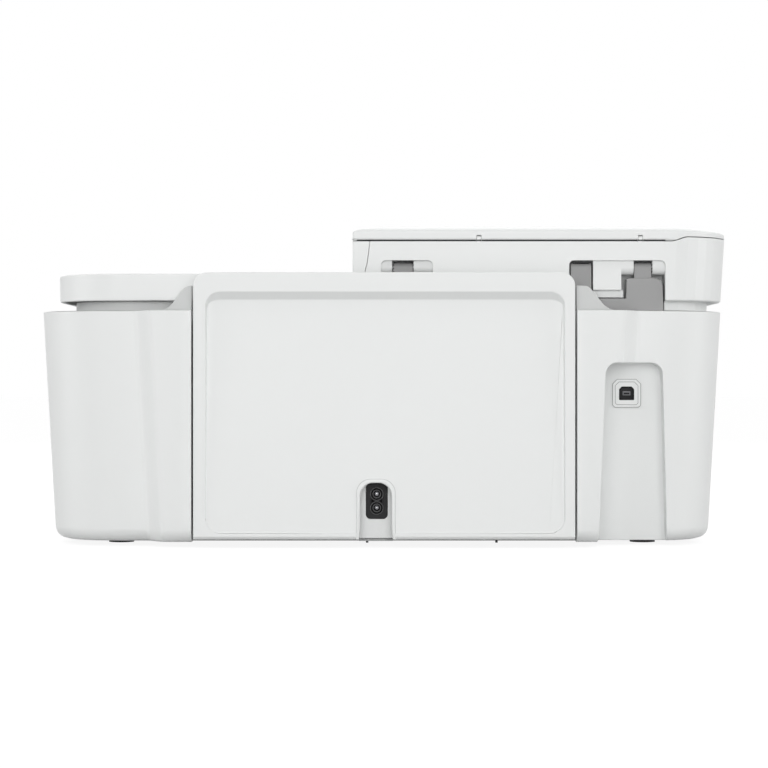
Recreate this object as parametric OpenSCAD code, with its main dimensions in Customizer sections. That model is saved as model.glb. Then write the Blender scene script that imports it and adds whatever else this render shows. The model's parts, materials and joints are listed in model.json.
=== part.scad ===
// Inkjet printer with a lifting scanner unit and a rear paper tray.
// Millimetres, +Z up, origin at the middle of the footprint on the floor, front towards -Y.

/* [Casing] */
// Width of the base at its top edge
body_w = 430.7; // [412:0.1:440]
// How much narrower each side is at the foot than at the top
side_taper = 7.7; // [0:0.1:12]
// Distance from the middle to the front face
front_reach = 166; // [160:1:176]
// Distance from the middle to the rear face of the outer side portions
rear_reach = 149; // [145:1:152]
// How far the portions beside the tray stand behind the outer ones
rear_step = 12; // [8:0.5:13]
// Height of the base top edge above the floor
base_top = 145.8; // [142:0.1:150]
// Height of the rubber feet
foot_h = 3; // [2:0.1:4]
// Wall thickness of the mouldings
wall = 2.5; // [1.8:0.1:3]
// Rounding of the bottom edge
edge_r = 8; // [4:0.5:10]
// Share of a side portion's width that the rear corner rounding takes
rear_round = 0.427; // [0.36:0.001:0.46]
// Rounding of the front vertical corners
front_r = 30; // [20:1:36]

/* [Upper units] */
// Height of the shadow groove between the base and the upper units
groove_h = 6.1; // [4.5:0.1:7]
// Height of the deck over the groove
deck_h = 16.8; // [14:0.1:20]
// Height of the scanner unit over the groove up to the lid seam
unit_h = 36.8; // [36:0.1:42]
// Thickness of the lid at its rim
lid_h = 5.1; // [4.8:0.1:7]
// How far the crown of the lid stands over its rim
lid_crown = 5.8; // [3:0.1:8]
// Where the scanner unit ends and the deck begins
split_x = 18.4; // [14:0.1:20]
// Slope of the control panel
panel_slope = 6.6; // [4:0.1:8]

/* [Rear tray] */
// Width of the rear tray panel
tray_w = 233.6; // [228:0.1:235]
// Thickness of the rear tray panel
tray_t = 6; // [5:0.1:7]
// Height of the top edge of the lowered tray panel
tray_top = 168.8; // [160:0.1:169]
// Corner rounding of the tray panel
tray_r = 8.5; // [5:0.5:12]

/* [Hinges] */
// Height of the scanner unit axis over the base top
axis_rise = 26.8; // [25:0.1:28]
// Diameter of the hinge pins
pin_d = 3; // [2.6:0.1:3.4]
// Radial running clearance of pins and shafts
run_gap = 0.05; // [0.03:0.01:0.08]
// Clearance between moving mouldings
gap = 0.5; // [0.4:0.05:0.7]

/* [Paper path] */
// Diameter of the feed roller
feed_d = 12; // [11:0.1:12.6]
// Diameter of the pick roller tyres
pick_d = 24; // [22:0.1:25]
// Diameter of the steel shafts
shaft_d = 6; // [5:0.1:7]
// Gear module
gear_m = 0.8; // [0.8:0.1:0.8]
// Length of the printed sheet width the path is made for
sheet_w = 210; // [205:1:216]

/* [Carriage] */
// Width of the print carriage
carriage_w = 76; // [70:1:80]
// Diameter of the carriage rod
rod_d = 8; // [7:0.1:9]
// Width of the drive belt
belt_w = 5; // [4:0.1:5.4]

/* [Front] */
// Width of the output opening
slot_w = 224; // [220:1:228]
// Height of the top edge of the output opening
slot_top = 80; // [77:0.5:84]
// Diameter of the round buttons
button_d = 12; // [10:0.5:14]

/* [Hidden] */
eps = 0.01;
fine = 64;
half_top = body_w / 2;
hw_foot_z = foot_h + edge_r;
inner_y = rear_reach + rear_step;
tray_y = inner_y + 5;
tray_x = -1.4;
seam_w = 1.6;
cut_r = tray_x + tray_w / 2 + seam_w;
cut_l = -tray_x + tray_w / 2 + seam_w;
side_w = half_top - cut_r;
// Half width the inner parts are laid out from.
core_x = half_top - 1.35;
side_x = -core_x;
rear_r = rear_round * side_w;
crease_r = 0.639 * side_w;
crease_l = 0.5679 * side_w;
// The print mechanism keeps its distance to the rear face.
mech_y = rear_reach - 149;

// ---- outlines and lofts ----
function arc(cx, cy, r, a0, a1, n) =
  [for (i = [0:n]) [cx + r * cos(a0 + (a1 - a0) * i / n), cy + r * sin(a0 + (a1 - a0) * i / n)]];
function at_z(pts, z) = [for (p = pts) [p[0], p[1], z]];
function taper_at(z) = side_taper * (base_top - max(z, hw_foot_z)) / (base_top - hw_foot_z);
function foot_in(z) =
  z >= hw_foot_z ? 0 : edge_r - sqrt(max(0, edge_r * edge_r - pow(min(edge_r, hw_foot_z - z), 2)));
function half_w(z) = half_top - taper_at(z);

// Casing outline at height z, moved inwards by d.
function casing_ring(z, d, e = 0) =
  let (
    i = d + foot_in(z) * 0.93 + e,
    hw = half_w(z) - i,
    yf = -front_reach + taper_at(z) + i,
    yo = rear_reach - i,
    yi = inner_y - i,
    rr = max(rear_r - i, 2),
    rf = max(front_r - i, 2),
    cr = half_w(z) - crease_r - d * 0.44,
    cl = half_w(z) - crease_l - d * 0.44
  )
  at_z(concat(
    arc(hw - rf, yf + rf, rf, -90, 0, 7),
    arc(hw - rr, yo - rr, rr, 0, 90, 9),
    [[cr + 1.5, yo], [cr - 1, yo + 0.09 * rear_step], [cr - 6.5, yo + 0.7 * rear_step],
     [cr - 9, yo + 0.93 * rear_step], [cr - 12, yi]],
    [[-cl + 12, yi], [-cl + 9, yo + 0.93 * rear_step], [-cl + 6.5, yo + 0.7 * rear_step],
     [-cl + 1, yo + 0.09 * rear_step], [-cl - 1.5, yo]],
    arc(-hw + rr, yo - rr, rr, 90, 180, 9),
    arc(-hw + rf, yf + rf, rf, 180, 270, 7)), z);

// Rounded rectangle outline.
function rr_ring(x0, x1, y0, y1, rs, z) =
  at_z(concat(
    arc(x1 - rs[0], y0 + rs[0], rs[0], -90, 0, 7),
    arc(x1 - rs[1], y1 - rs[1], rs[1], 0, 90, 9),
    arc(x0 + rs[2], y1 - rs[2], rs[2], 90, 180, 9),
    arc(x0 + rs[3], y0 + rs[3], rs[3], 180, 270, 7)), z);

// Closed body through a stack of outlines with equal point counts.
module loft(rings) {
  n = len(rings[0]);
  m = len(rings);
  sides = [for (k = [0:m - 2]) for (i = [0:n - 1])
    [[k * n + i, (k + 1) * n + i, (k + 1) * n + (i + 1) % n],
     [k * n + i, (k + 1) * n + (i + 1) % n, k * n + (i + 1) % n]]];
  polyhedron(
    points = [for (r = rings) for (p = r) p],
    faces = concat([[for (i = [0:n - 1]) i]],
      [[for (i = [n - 1:-1:0]) (m - 1) * n + i]],
      [for (s = sides) s[0]], [for (s = sides) s[1]]));
}

// Box between two corners.
module box(lo, hi) {
  translate(lo)
    cube([hi[0] - lo[0], hi[1] - lo[1], hi[2] - lo[2]]);
}

// Rod along X, Y or Z from a start point.
module rod_x(x0, x1, y, z, d) {
  translate([x0, y, z])
    rotate([0, 90, 0])
      cylinder(h = x1 - x0, d = d, $fn = fine);
}
module rod_y(y0, y1, x, z, d) {
  translate([x, y0, z])
    rotate([-90, 0, 0])
      cylinder(h = y1 - y0, d = d, $fn = fine);
}
module rod_z(z0, z1, x, y, d) {
  translate([x, y, z0])
    cylinder(h = z1 - z0, d = d, $fn = fine);
}

// Profile drawn in Y,Z and drawn out along X.
module along_x(x0, x1) {
  translate([x0, 0, 0])
    rotate([90, 0, 90])
      linear_extrude(x1 - x0)
        children();
}
// Profile drawn in X,Z and drawn out along Y.
module along_y(y0, y1) {
  translate([0, y1, 0])
    rotate([90, 0, 0])
      linear_extrude(y1 - y0)
        children();
}
module round_rect(x0, x1, y0, y1, r) {
  square_w = x1 - x0;
  square_h = y1 - y0;
  translate([x0 + r, y0])
    square([square_w - 2 * r, square_h]);
  translate([x0, y0 + r])
    square([square_w, square_h - 2 * r]);
  for (x = [x0 + r, x1 - r], y = [y0 + r, y1 - r])
    translate([x, y])
      circle(r = r, $fn = 32);
}

// ---- gears ----
feed_teeth = 50;
exit_idler_teeth = 90;
pick_idler_teeth = 40;
pick_teeth = 54;
pinion_teeth = 15;
pressure = 20;
function inv_deg(a) = tan(a) * 180 / PI - a;
function tooth_half(z, r) =
  let (rp = gear_m * z / 2, rb = rp * cos(pressure), a = r > rb ? acos(rb / r) : 0)
  90 / z - 0.09 / rp * 57.3 + inv_deg(pressure) - inv_deg(a);
module gear(teeth, h, bore, turn) {
  rp = gear_m * teeth / 2;
  rb = rp * cos(pressure);
  ra = rp + 0.85 * gear_m;
  rf = rp - 1.2 * gear_m;
  r1 = max(rb, rf) + 0.02;
  r2 = (r1 + ra) / 2;
  pitch = 360 / teeth;
  difference() {
    rotate([0, 0, turn])
      linear_extrude(h)
        polygon([for (i = [0:teeth - 1]) for (q = [
          [rf, -tooth_half(teeth, r1) - 0.1], [r1, -tooth_half(teeth, r1)], [r2, -tooth_half(teeth, r2)],
          [ra, -tooth_half(teeth, ra)], [ra, tooth_half(teeth, ra)], [r2, tooth_half(teeth, r2)],
          [r1, tooth_half(teeth, r1)], [rf, tooth_half(teeth, r1) + 0.1]])
          [q[0] * cos(i * pitch + q[1]), q[0] * sin(i * pitch + q[1])]]);
    translate([0, 0, -1])
      cylinder(h = h + 2, d = bore, $fn = fine);
    if (rp > 14)
      for (a = [0:60:300])
        rotate([0, 0, a])
          translate([rp * 0.6, 0, -1])
            cylinder(h = h + 2, d = rp * 0.34, $fn = 32);
  }
}
// Gear plane: local X is world Y, local Y is world Z, local Z is world X.
module gear_at(c, teeth, turn, bore) {
  translate([gear_x, c[0], c[1]])
    rotate([90, 0, 90])
      gear(teeth, gear_t, bore, turn);
}
function reach(a, b) = gear_m * (a + b) / 2;
function bearing(p, q) = atan2(q[1] - p[1], q[0] - p[0]);
function modulo(a, b) = a - b * floor(a / b);
// Turn of gear B that meshes with gear A.
function mesh(pa, za, ta, pb, zb) =
  let (dir = bearing(pa, pb), e = modulo(dir - ta, 360 / za))
  dir + 180 + 180 / zb + e * za / zb;

// ---- shared positions ----
plate_x = core_x - 18;
plate_t = 2;
gear_t = 6;
gear_x = -plate_x + plate_t + 4.5;
feed_c = [50, 62];
exit_c = [feed_c[0] - 2 * reach(feed_teeth, exit_idler_teeth), feed_c[1]];
exit_idler_c = [feed_c[0] - reach(feed_teeth, exit_idler_teeth), feed_c[1]];
pick_rise = 31.5;
pick_span = reach(feed_teeth, pick_idler_teeth) + reach(pick_idler_teeth, pick_teeth);
pick_c = [feed_c[0] + sqrt(pick_span * pick_span - pick_rise * pick_rise), feed_c[1] + pick_rise];
pick_share = reach(feed_teeth, pick_idler_teeth) / pick_span;
pick_idler_c = [feed_c[0] + (pick_c[0] - feed_c[0]) * pick_share, feed_c[1] + pick_rise * pick_share];
pinion_c = [feed_c[0], feed_c[1] - reach(feed_teeth, pinion_teeth)];
feed_turn = 0;
exit_idler_turn = mesh(feed_c, feed_teeth, feed_turn, exit_idler_c, exit_idler_teeth);
exit_turn = mesh(exit_idler_c, exit_idler_teeth, exit_idler_turn, exit_c, feed_teeth);
pick_idler_turn = mesh(feed_c, feed_teeth, feed_turn, pick_idler_c, pick_idler_teeth);
pick_turn = mesh(pick_idler_c, pick_idler_teeth, pick_idler_turn, pick_c, pick_teeth);
pinion_turn = mesh(feed_c, feed_teeth, feed_turn, pinion_c, pinion_teeth);
stud_d = 5;
half_sheet = sheet_w / 2;
path_x = half_sheet + 3;
bracket_x = path_x + 4;
bracket_t = 2.5;
rail_end = 24;
board_x0 = side_x + 34;
board_x1 = -bracket_x - bracket_t - 13.5;
board_y0 = 60;
board_y1 = 134.4;
board_z = 87;
station_x = bracket_x + bracket_t + 1.5;
rod_y0 = 34;
rod_z0 = 112;
park_x1 = plate_x - 4.5;
park_x0 = park_x1 - carriage_w;
park_c = (park_x0 + park_x1) / 2;
nozzle_z = 69.6;
belt_y = 37;
belt_z = 93;
pulley_r = 6.4;
belt_r = 7.4;
pulley_x = plate_x - 14;
floor_z = foot_h + wall;
axis_y = rear_reach - 7;
axis_z = base_top + axis_rise;
unit_z = base_top + groove_h;
seam_z = unit_z + unit_h;
unit_x0 = -half_top - 2.45;
unit_x1 = split_x - 0.25;
deck_x0 = split_x + 0.35;
deck_x1 = half_top - 10.4;
deck_top = unit_z + deck_h;
lid_z = seam_z + 0.5;
lid_axis_y = rear_reach - 1.7;
lid_axis_z = lid_z + 1.5;
lid_pin_d = 1.4;
rise_z = 2.7;
recess_y = rear_reach - 17;
recess_l = [-31.6, 0.6];
recess_r = [side_x + 38.5, side_x + 98.1];
recess_top = axis_z + 4.4;
neck_l = [-19.2, -6.8];
neck_r = [side_x + 46.7, side_x + 57.4];
inlet_x = 3.15;
inlet_z = 28.4;
usb_x = side_x + 61.4;
channel_x0 = usb_x - 21.25;
channel_x1 = usb_x + 15.3;
usb_z = 94.6;
channel_y = rear_reach - 12;
channel_top = 113.5;
tray_x0 = tray_x - tray_w / 2;
tray_x1 = tray_x + tray_w / 2;
tray_in_y = tray_y - tray_t;
tray_z0 = 5.1;
lean_y = tray_in_y - 4.5;
lean_z = 15;
lean_pin_d = 4;
lug_x = 110.5;
lug_half = 2;
guide_z = 126;
guide_x = half_sheet + 1;
out_z = 38;
tray_half = half_sheet + 0.5;
tray_front = -front_reach + 8;
flap_y = tray_front + 2;
flap_z = out_z + 2.9;
panel_y0 = -front_reach;
panel_len = 104;

// ---- casing ----
foot_levels = [foot_h, foot_h + 1, foot_h + 3, foot_h + 5.5, hw_foot_z];
module casing_outer() {
  loft(concat(
    [for (z = foot_levels) casing_ring(z, 0)],
    [casing_ring(base_top - 0.5, 0), casing_ring(base_top, 0, 0.4)]));
}
module casing_inner() {
  loft(concat(
    [[for (p = casing_ring(foot_h, wall)) [p[0], p[1], -1]]],
    [for (z = foot_levels) casing_ring(z, wall)],
    [casing_ring(base_top, wall)],
    [[for (p = casing_ring(base_top, wall)) [p[0], p[1], base_top + 5]]]));
}
module side_cover(s) {
  difference() {
    intersection() {
      casing_outer();
      if (s > 0)
        box([cut_r, -400, 0], [400, 400, 400]);
      else
        box([-400, -400, 0], [-cut_l, 400, 400]);
    }
    difference() {
      casing_inner();
      if (s > 0)
        box([cut_r - 1, rear_reach - 2, -2], [cut_r + wall, inner_y + 1, 400]);
      else
        box([-cut_l - wall, rear_reach - 2, -2], [-cut_l + 1, inner_y + 1, 400]);
    }
  }
}
module channel_shape(d) {
  // Cable recess outline in X,Z, grown by d.
  x0 = channel_x0 - d;
  x1 = channel_x1 + d;
  r = 7.5;
  polygon(concat(
    [[x1 + 4.6, -5]],
    arc(x1 - r, channel_top + d - r, r, 0, 90, 8),
    arc(x0 + r, channel_top + d - r, r, 90, 180, 8),
    [[x0 - 2.9, -5]]));
}
module left_side_cover() {
  color([0.9, 0.91, 0.91])
    difference() {
      union() {
        side_cover(-1);
        intersection() {
          casing_outer();
          along_y(channel_y - 2, inner_y + 5)
            channel_shape(2);
        }
      }
      along_y(channel_y, inner_y + 5)
        channel_shape(0);
      box([usb_x - 7, channel_y - 5, usb_z - 7], [usb_x + 7, channel_y + 1, usb_z + 7]);
    }
}
module right_side_cover() {
  color([0.9, 0.91, 0.91])
    side_cover(1);
}
module front_cover() {
  color([0.9, 0.91, 0.91])
    difference() {
      intersection() {
        casing_outer();
        box([-cut_l + 0.3, -400, 0], [cut_r - 0.3, -100, 400]);
      }
      casing_inner();
      along_y(-400, -100)
        round_rect(-slot_w / 2, slot_w / 2, out_z - 5.2, slot_top, 5);
    }
}
module bottom_pan() {
  color([0.35, 0.36, 0.37])
    difference() {
      union() {
        translate([0, 0, foot_h])
          linear_extrude(wall)
            polygon([for (p = casing_ring(foot_h, wall + 0.3)) [p[0], min(p[1], rear_reach - 8)]]);
        for (s = [-1, 1]) {
          box([s * (tray_half + 3) - 1.25, tray_front + 8, floor_z - 0.5],
            [s * (tray_half + 3) + 1.25, rail_end, out_z + 5]);
          box([s > 0 ? tray_half - 0.5 : -tray_half - 2.5, tray_front + 8, out_z - 3],
            [s > 0 ? tray_half + 2.5 : -tray_half + 0.5, rail_end, out_z - 0.4]);
        }
        for (x = [-bracket_x, bracket_x - 4])
          box([x, mech_y + 30, floor_z - 0.5], [x + 4, mech_y + 34, 62]);
        for (x = [board_x0 + 6, board_x1 - 6], y = [board_y0 + 12, board_y1 - 8])
          rod_z(floor_z - 0.5, board_z, x, mech_y + y, 6);
        for (x = [9.2, -71.5])
          rod_z(foot_h - 1.6, foot_h + 1, x, rear_reach - 12, 1.6);
        box([gear_x + 11.5, mech_y + pinion_c[0] - 12, floor_z - 0.5],
          [gear_x + 35.5, mech_y + pinion_c[0] + 12, 20]);
      }
      for (x = [-60:15:60])
        box([x - 3, mech_y + 60, 0], [x + 3, mech_y + 110, 10]);
      along_y(channel_y - 2.3, inner_y + 5)
        channel_shape(2.4);
    }
}
module feet() {
  color([0.15, 0.15, 0.15])
    for (x = [-core_x + 48, core_x - 48], y = [-front_reach + 40, rear_reach - 42])
      translate([x, y, 0])
        difference() {
          cylinder(h = foot_h, d = 16, $fn = 48);
          translate([0, 0, -1])
            cylinder(h = 1.6, d = 9, $fn = 48);
        }
}
module notch_shape(d) {
  // Inverted U around the power inlet in X,Z, grown by d.
  x0 = inlet_x + 0.5 - 11.6 - d;
  x1 = inlet_x + 0.5 + 11.6 + d;
  r = 8.5;
  polygon(concat(
    [[x1 + 1.6, -5], [x1, 12]],
    arc(x1 - r, 42 + d - r, r, 0, 90, 8),
    arc(x0 + r, 42 + d - r, r, 90, 180, 8),
    [[x0, 12], [x0 - 1.6, -5]]));
}
module rear_inner_cover() {
  color([0.88, 0.89, 0.89])
    difference() {
      union() {
        box([-cut_l + 0.3, rear_reach - 2, floor_z + 0.2], [cut_r - 0.3, rear_reach + 0.5, base_top - 3.2]);
        intersection() {
          along_y(rear_reach, tray_y - 8.6)
            notch_shape(3);
          box([-60, 0, floor_z + 0.2], [60, 400, 100]);
        }
        for (s = [-1, 1])
          box([s * (lug_x + 5.2) - 0.6, rear_reach, floor_z + 4], [s * (lug_x + 5.2) + 0.6, tray_in_y - 5, 140]);
      }
      along_y(rear_reach - 10, tray_y)
        round_rect(inlet_x - 6.8, inlet_x + 6.8, inlet_z - 11.1, inlet_z + 11.1, 3);
      box([-half_sheet - 2, rear_reach - 5, 84], [half_sheet + 2, rear_reach + 5, 116]);
    }
}
module inlet_socket() {
  color([0.04, 0.04, 0.04])
    difference() {
      along_y(rear_reach - 16, tray_y - 9)
        round_rect(inlet_x - 6.75, inlet_x + 6.75, inlet_z - 11.05, inlet_z + 11.05, 3);
      along_y(rear_reach - 4, tray_y) {
        for (s = [-1, 1])
          translate([inlet_x, inlet_z + s * 4.3])
            circle(d = 8.2, $fn = 48);
        translate([inlet_x - 3.2, inlet_z - 3])
          square([6.4, 6]);
      }
      for (s = [-1, 1])
        rod_y(rear_reach - 12.1, rear_reach - 3, inlet_x, inlet_z + s * 4.3, 2.42);
    }
}
module inlet_pins() {
  color([0.8, 0.78, 0.7])
    for (s = [-1, 1])
      rod_y(rear_reach - 12, tray_y - 12.5, inlet_x, inlet_z + s * 4.3, 2.4);
}
port_mouth = [[-4.7, -4], [4.7, -4], [4.7, 2.2], [3, 4], [-3, 4], [-4.7, 2.2]];
module port_bezel() {
  color([0.82, 0.83, 0.83])
    difference() {
      along_y(channel_y + 0.05, channel_y + 1.4)
        polygon([[usb_x - 8.7, usb_z - 7.4], [usb_x - 7.1, usb_z - 9], [usb_x + 7.1, usb_z - 9],
          [usb_x + 8.7, usb_z - 7.4], [usb_x + 8.7, usb_z + 6], [usb_x + 5.7, usb_z + 9],
          [usb_x - 5.7, usb_z + 9], [usb_x - 8.7, usb_z + 6]]);
      along_y(channel_y - 1, channel_y + 2)
        polygon([for (p = port_mouth) [usb_x + p[0], usb_z + p[1]]]);
    }
}
module data_port() {
  color([0.6, 0.61, 0.62])
    union() {
      difference() {
        box([usb_x - 6, channel_y - 16, board_z + 1.75], [usb_x + 6, channel_y - 0.1, usb_z + 5.6]);
        along_y(channel_y - 10, channel_y + 1)
          polygon([for (p = port_mouth) [usb_x + p[0] * 0.96, usb_z + p[1] * 0.96]]);
      }
      box([usb_x - 2.8, channel_y - 11, usb_z - 1.6], [usb_x + 2.8, channel_y - 1.5, usb_z + 1.6]);
    }
}
module top_frame() {
  color([0.76, 0.77, 0.76]) {
    frame_plate();
    rear_cheeks();
  }
}
neck_t = 4;
// Outline of the recessed neck under a unit, moved inwards by d; mirror_it puts the large corner at x0.
function neck_ring(x0, x1, d, mirror_it) =
  let (a = mirror_it ? x1 - d : x0 + d, b = mirror_it ? x0 + d : x1 - d, k = mirror_it ? -1 : 1,
    y0 = -front_reach + 6 + d, y1 = rear_reach - 6 - d, rr = rear_r - 6 - d, rf = front_r - 6 - d)
  concat([[a, y0]],
    [for (i = [0:6]) [b - k * rf * (1 - sin(i * 15)), y0 + rf * (1 - cos(i * 15))]],
    [for (i = [0:8]) [b - k * rr * (1 - cos(i * 11.25)), y1 - rr * (1 - sin(i * 11.25))]],
    [[a, y1]]);
module frame_plate() {
  ring_out = [for (p = casing_ring(base_top, wall + 0.45)) [p[0], min(p[1], rear_reach - 2.3)]];
    difference() {
      union() {
        translate([0, 0, base_top - 3])
          linear_extrude(3)
            polygon(ring_out);
        translate([0, 0, base_top - eps])
          linear_extrude(groove_h)
            polygon(neck_ring(split_x + 1, deck_x1 - 10.4, 0, false));
      }
      translate([0, 0, base_top - 10])
        linear_extrude(30)
          round_rect(-core_x + 30, split_x - 6, mech_y - 76, mech_y + 100, 6);
      translate([0, 0, base_top + eps])
        linear_extrude(30)
          polygon(neck_ring(split_x + 1, deck_x1 - 10.4, neck_t, false));
    }
}
cheek_r = [[0, 0], [17.7, 0], [15.2, 1.4], [13.4, 2.6], [12.1, 4.1], [10.9, 5.7], [9.7, 7.5], [8.4, 8.9],
  [7.2, 10.9], [6, 12.4], [4.7, 13.7], [2.3, 14.9], [0, 15.2]];
cheek_l = [[0, 0], [23.4, 0], [20.4, 0.9], [17.3, 2.9], [15, 5.5], [11.9, 9.7], [8.8, 13.2], [7.3, 14.5],
  [5.8, 15], [0, 15.2]];
module rear_cheeks() {
    for (s = [-1, 1])
      along_y(rear_reach + 1.2, inner_y - 4)
        polygon([for (p = s > 0 ? cheek_r : cheek_l)
          [s > 0 ? cut_r + p[0] : -cut_l - p[0], base_top + p[1]]]);
}

// ---- scanner unit hinge ----
post_r = 2.9;
module post(x0, x1, z0) {
  box([x0, axis_y - post_r, z0], [x1, axis_y + post_r, axis_z]);
  rod_x(x0, x1, axis_y, axis_z, 2 * post_r);
}
module hinge_posts() {
  color([0.6, 0.6, 0.6]) {
    cable_duct();
    difference() {
      union() {
        post(neck_l[0], neck_l[1], base_top);
        box([neck_l[0] - 2, axis_y - 5, base_top], [neck_l[1] + 2, axis_y + 4.5, base_top + 6]);
        post(neck_r[0], neck_r[1], base_top);
        along_y(axis_y - 5, axis_y + 4.5)
          polygon([[side_x + 39.4, base_top], [side_x + 62.8, base_top], [side_x + 62.2, base_top + 19.6],
            [side_x + 60, base_top + 20.2], [side_x + 44.6, base_top + 20.2], [side_x + 41.4, base_top + 19],
            [side_x + 40, base_top + 16.6]]);
        box([side_x + 62, axis_y - 5, base_top], [side_x + 79, axis_y + 4.5, base_top + 7.6]);
      }
      for (n = [neck_l, neck_r])
        rod_x(n[0] - 1, n[1] + 1, axis_y, axis_z, pin_d);
    }
  }
}
module hinge_pins() {
  color([0.7, 0.71, 0.72]) {
    rod_x(neck_l[0] - 5.5, neck_l[1] + 5.5, axis_y, axis_z, pin_d);
    rod_x(neck_r[0] - 5.5, neck_r[1] + 5.5, axis_y, axis_z, pin_d);
  }
}
module cable_duct() {
    difference() {
      post(side_x + 84, side_x + 96.8, base_top);
      along_x(side_x + 85.5, side_x + 95.3)
        polygon([[axis_y - 1.6, base_top - 5], [axis_y + 1.6, base_top - 5], [axis_y + 1.6, axis_z + 8],
          [axis_y - 1.6, axis_z + 8]]);
    }
}

// ---- deck and control panel ----
function deck_ring(z, e) =
  rr_ring(deck_x0 + min(e, 0.4), deck_x1 - e - 0.02 * (deck_top - z), -front_reach + e, rear_reach - e,
    [front_r - e, rear_r - e, 1, 1], z);
panel_tip = deck_top - panel_len * tan(panel_slope);
module on_panel() {
  translate([0, panel_y0, panel_tip])
    rotate([panel_slope, 0, 0])
      children();
}
panel_cx = (deck_x0 + deck_x1) / 2;
bezel_x0 = deck_x0 + 9;
bezel_x1 = deck_x1 - 12;
bezel_y0 = 14;
bezel_y1 = 96;
bezel_t = 2;
display_x0 = bezel_x0 + 8;
display_x1 = display_x0 + 62;
display_y0 = 44;
display_y1 = 82;
small_w = 15;
small_h = 8;
menu_x = display_x1 + 22;
// name, x, y, width, height (a width of 0 is a round button)
KEYS = [
  ["button_menu", menu_x, 76, small_w, small_h],
  ["button_ok", menu_x, 60, small_w, small_h],
  ["button_plus", menu_x + 25, 76, small_w, small_h],
  ["button_minus", menu_x + 25, 60, small_w, small_h],
  ["button_power", bezel_x0 + 18, 27, 0, 0],
  ["button_stop", menu_x, 27, 0, 0],
  ["button_start", menu_x + 27, 27, 0, 0]];
key_gap = 0.35;
key_travel = 0.8;
module key_shape(k, d) {
  if (k[3] == 0)
    translate([k[1], k[2]])
      circle(d = button_d + 2 * d, $fn = 48);
  else
    round_rect(k[1] - k[3] / 2 - d, k[1] + k[3] / 2 + d, k[2] - k[4] / 2 - d, k[2] + k[4] / 2 + d, 2 + d);
}
module key_body(i) {
  on_panel() {
    translate([0, 0, -3])
      linear_extrude(4.2)
        key_shape(KEYS[i], 0);
    translate([0, 0, -4.2])
      linear_extrude(1.2)
        key_shape(KEYS[i], 1);
  }
}
module deck_cover() {
  color([0.9, 0.91, 0.91])
    difference() {
      loft([deck_ring(unit_z, 0.6), deck_ring(unit_z + 0.5, 0), deck_ring(deck_top - 1.1, 0),
        deck_ring(deck_top - 0.3, 0.3), deck_ring(deck_top, 1.1)]);
      difference() {
        loft([deck_ring(unit_z - 1, wall + 0.4), deck_ring(deck_top - wall, wall + 0.4)]);
        on_panel()
          box([-300, -50, -wall - 1.4], [300, 300, 100]);
      }
      on_panel()
        box([-300, -50, 0], [300, 200, 100]);
      on_panel()
        translate([0, 0, -1.4])
          linear_extrude(10)
            round_rect(bezel_x0 - 0.2, bezel_x1 + 0.2, bezel_y0 - 0.2, bezel_y1 + 0.2, 8);
      on_panel()
        translate([0, 0, -20])
          linear_extrude(40) {
            for (k = KEYS)
              key_shape(k, 1.5);
            round_rect(display_x0 + 2, display_x1 - 2, display_y0 + 2, display_y1 - 2, 1);
          }
    }
}
module control_bezel() {
  color([0.1, 0.1, 0.11])
    on_panel()
      translate([0, 0, -1.4])
        difference() {
          linear_extrude(bezel_t)
            round_rect(bezel_x0, bezel_x1, bezel_y0, bezel_y1, 8);
          translate([0, 0, -1])
            linear_extrude(bezel_t + 2) {
              for (k = KEYS)
                key_shape(k, key_gap);
              round_rect(display_x0, display_x1, display_y0, display_y1, 2);
            }
        }
}
module display_window() {
  color([0.15, 0.2, 0.24])
    on_panel()
      translate([0, 0, -1.4])
        linear_extrude(1.6)
          round_rect(display_x0 + 0.1, display_x1 - 0.1, display_y0 + 0.1, display_y1 - 0.1, 1.9);
}
module button_menu() { color([0.5, 0.52, 0.54]) key_body(0); }
module button_ok() { color([0.5, 0.52, 0.54]) key_body(1); }
module button_plus() { color([0.5, 0.52, 0.54]) key_body(2); }
module button_minus() { color([0.5, 0.52, 0.54]) key_body(3); }
module button_power() { color([0.75, 0.76, 0.78]) key_body(4); }
module button_stop() { color([0.8, 0.3, 0.2]) key_body(5); }
module button_start() { color([0.2, 0.6, 0.3]) key_body(6); }

// ---- print mechanism ----
module power_supply() {
  color([0.12, 0.12, 0.13])
    translate([0, mech_y, 0])
    difference() {
      box([-72, 72, floor_z], [68, 128, 46]);
      for (x = [-60:8:56])
        box([x, 80, 44.5], [x + 4, 120, 50]);
    }
}
module main_board() {
  color([0.1, 0.35, 0.2])
    translate([0, mech_y, 0])
    union() {
      box([board_x0, board_y0, board_z], [board_x1, board_y1, board_z + 1.7]);
      box([board_x0 + 8, board_y0 + 10, board_z + 1.6], [board_x0 + 24, board_y0 + 26, board_z + 3.4]);
      box([board_x1 - 22, board_y0 + 12, board_z + 1.6], [board_x1 - 8, board_y0 + 20, board_z + 5]);
    }
}
module chassis_side(x0, x1, profile, holes) {
  difference() {
    along_x(x0, x1)
      polygon(profile);
    for (h = holes)
      rod_x(x0 - 1, x1 + 1, h[0], h[1], h[2]);
  }
}
run_d = 2 * run_gap;
front_rail_y = -52;
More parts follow.
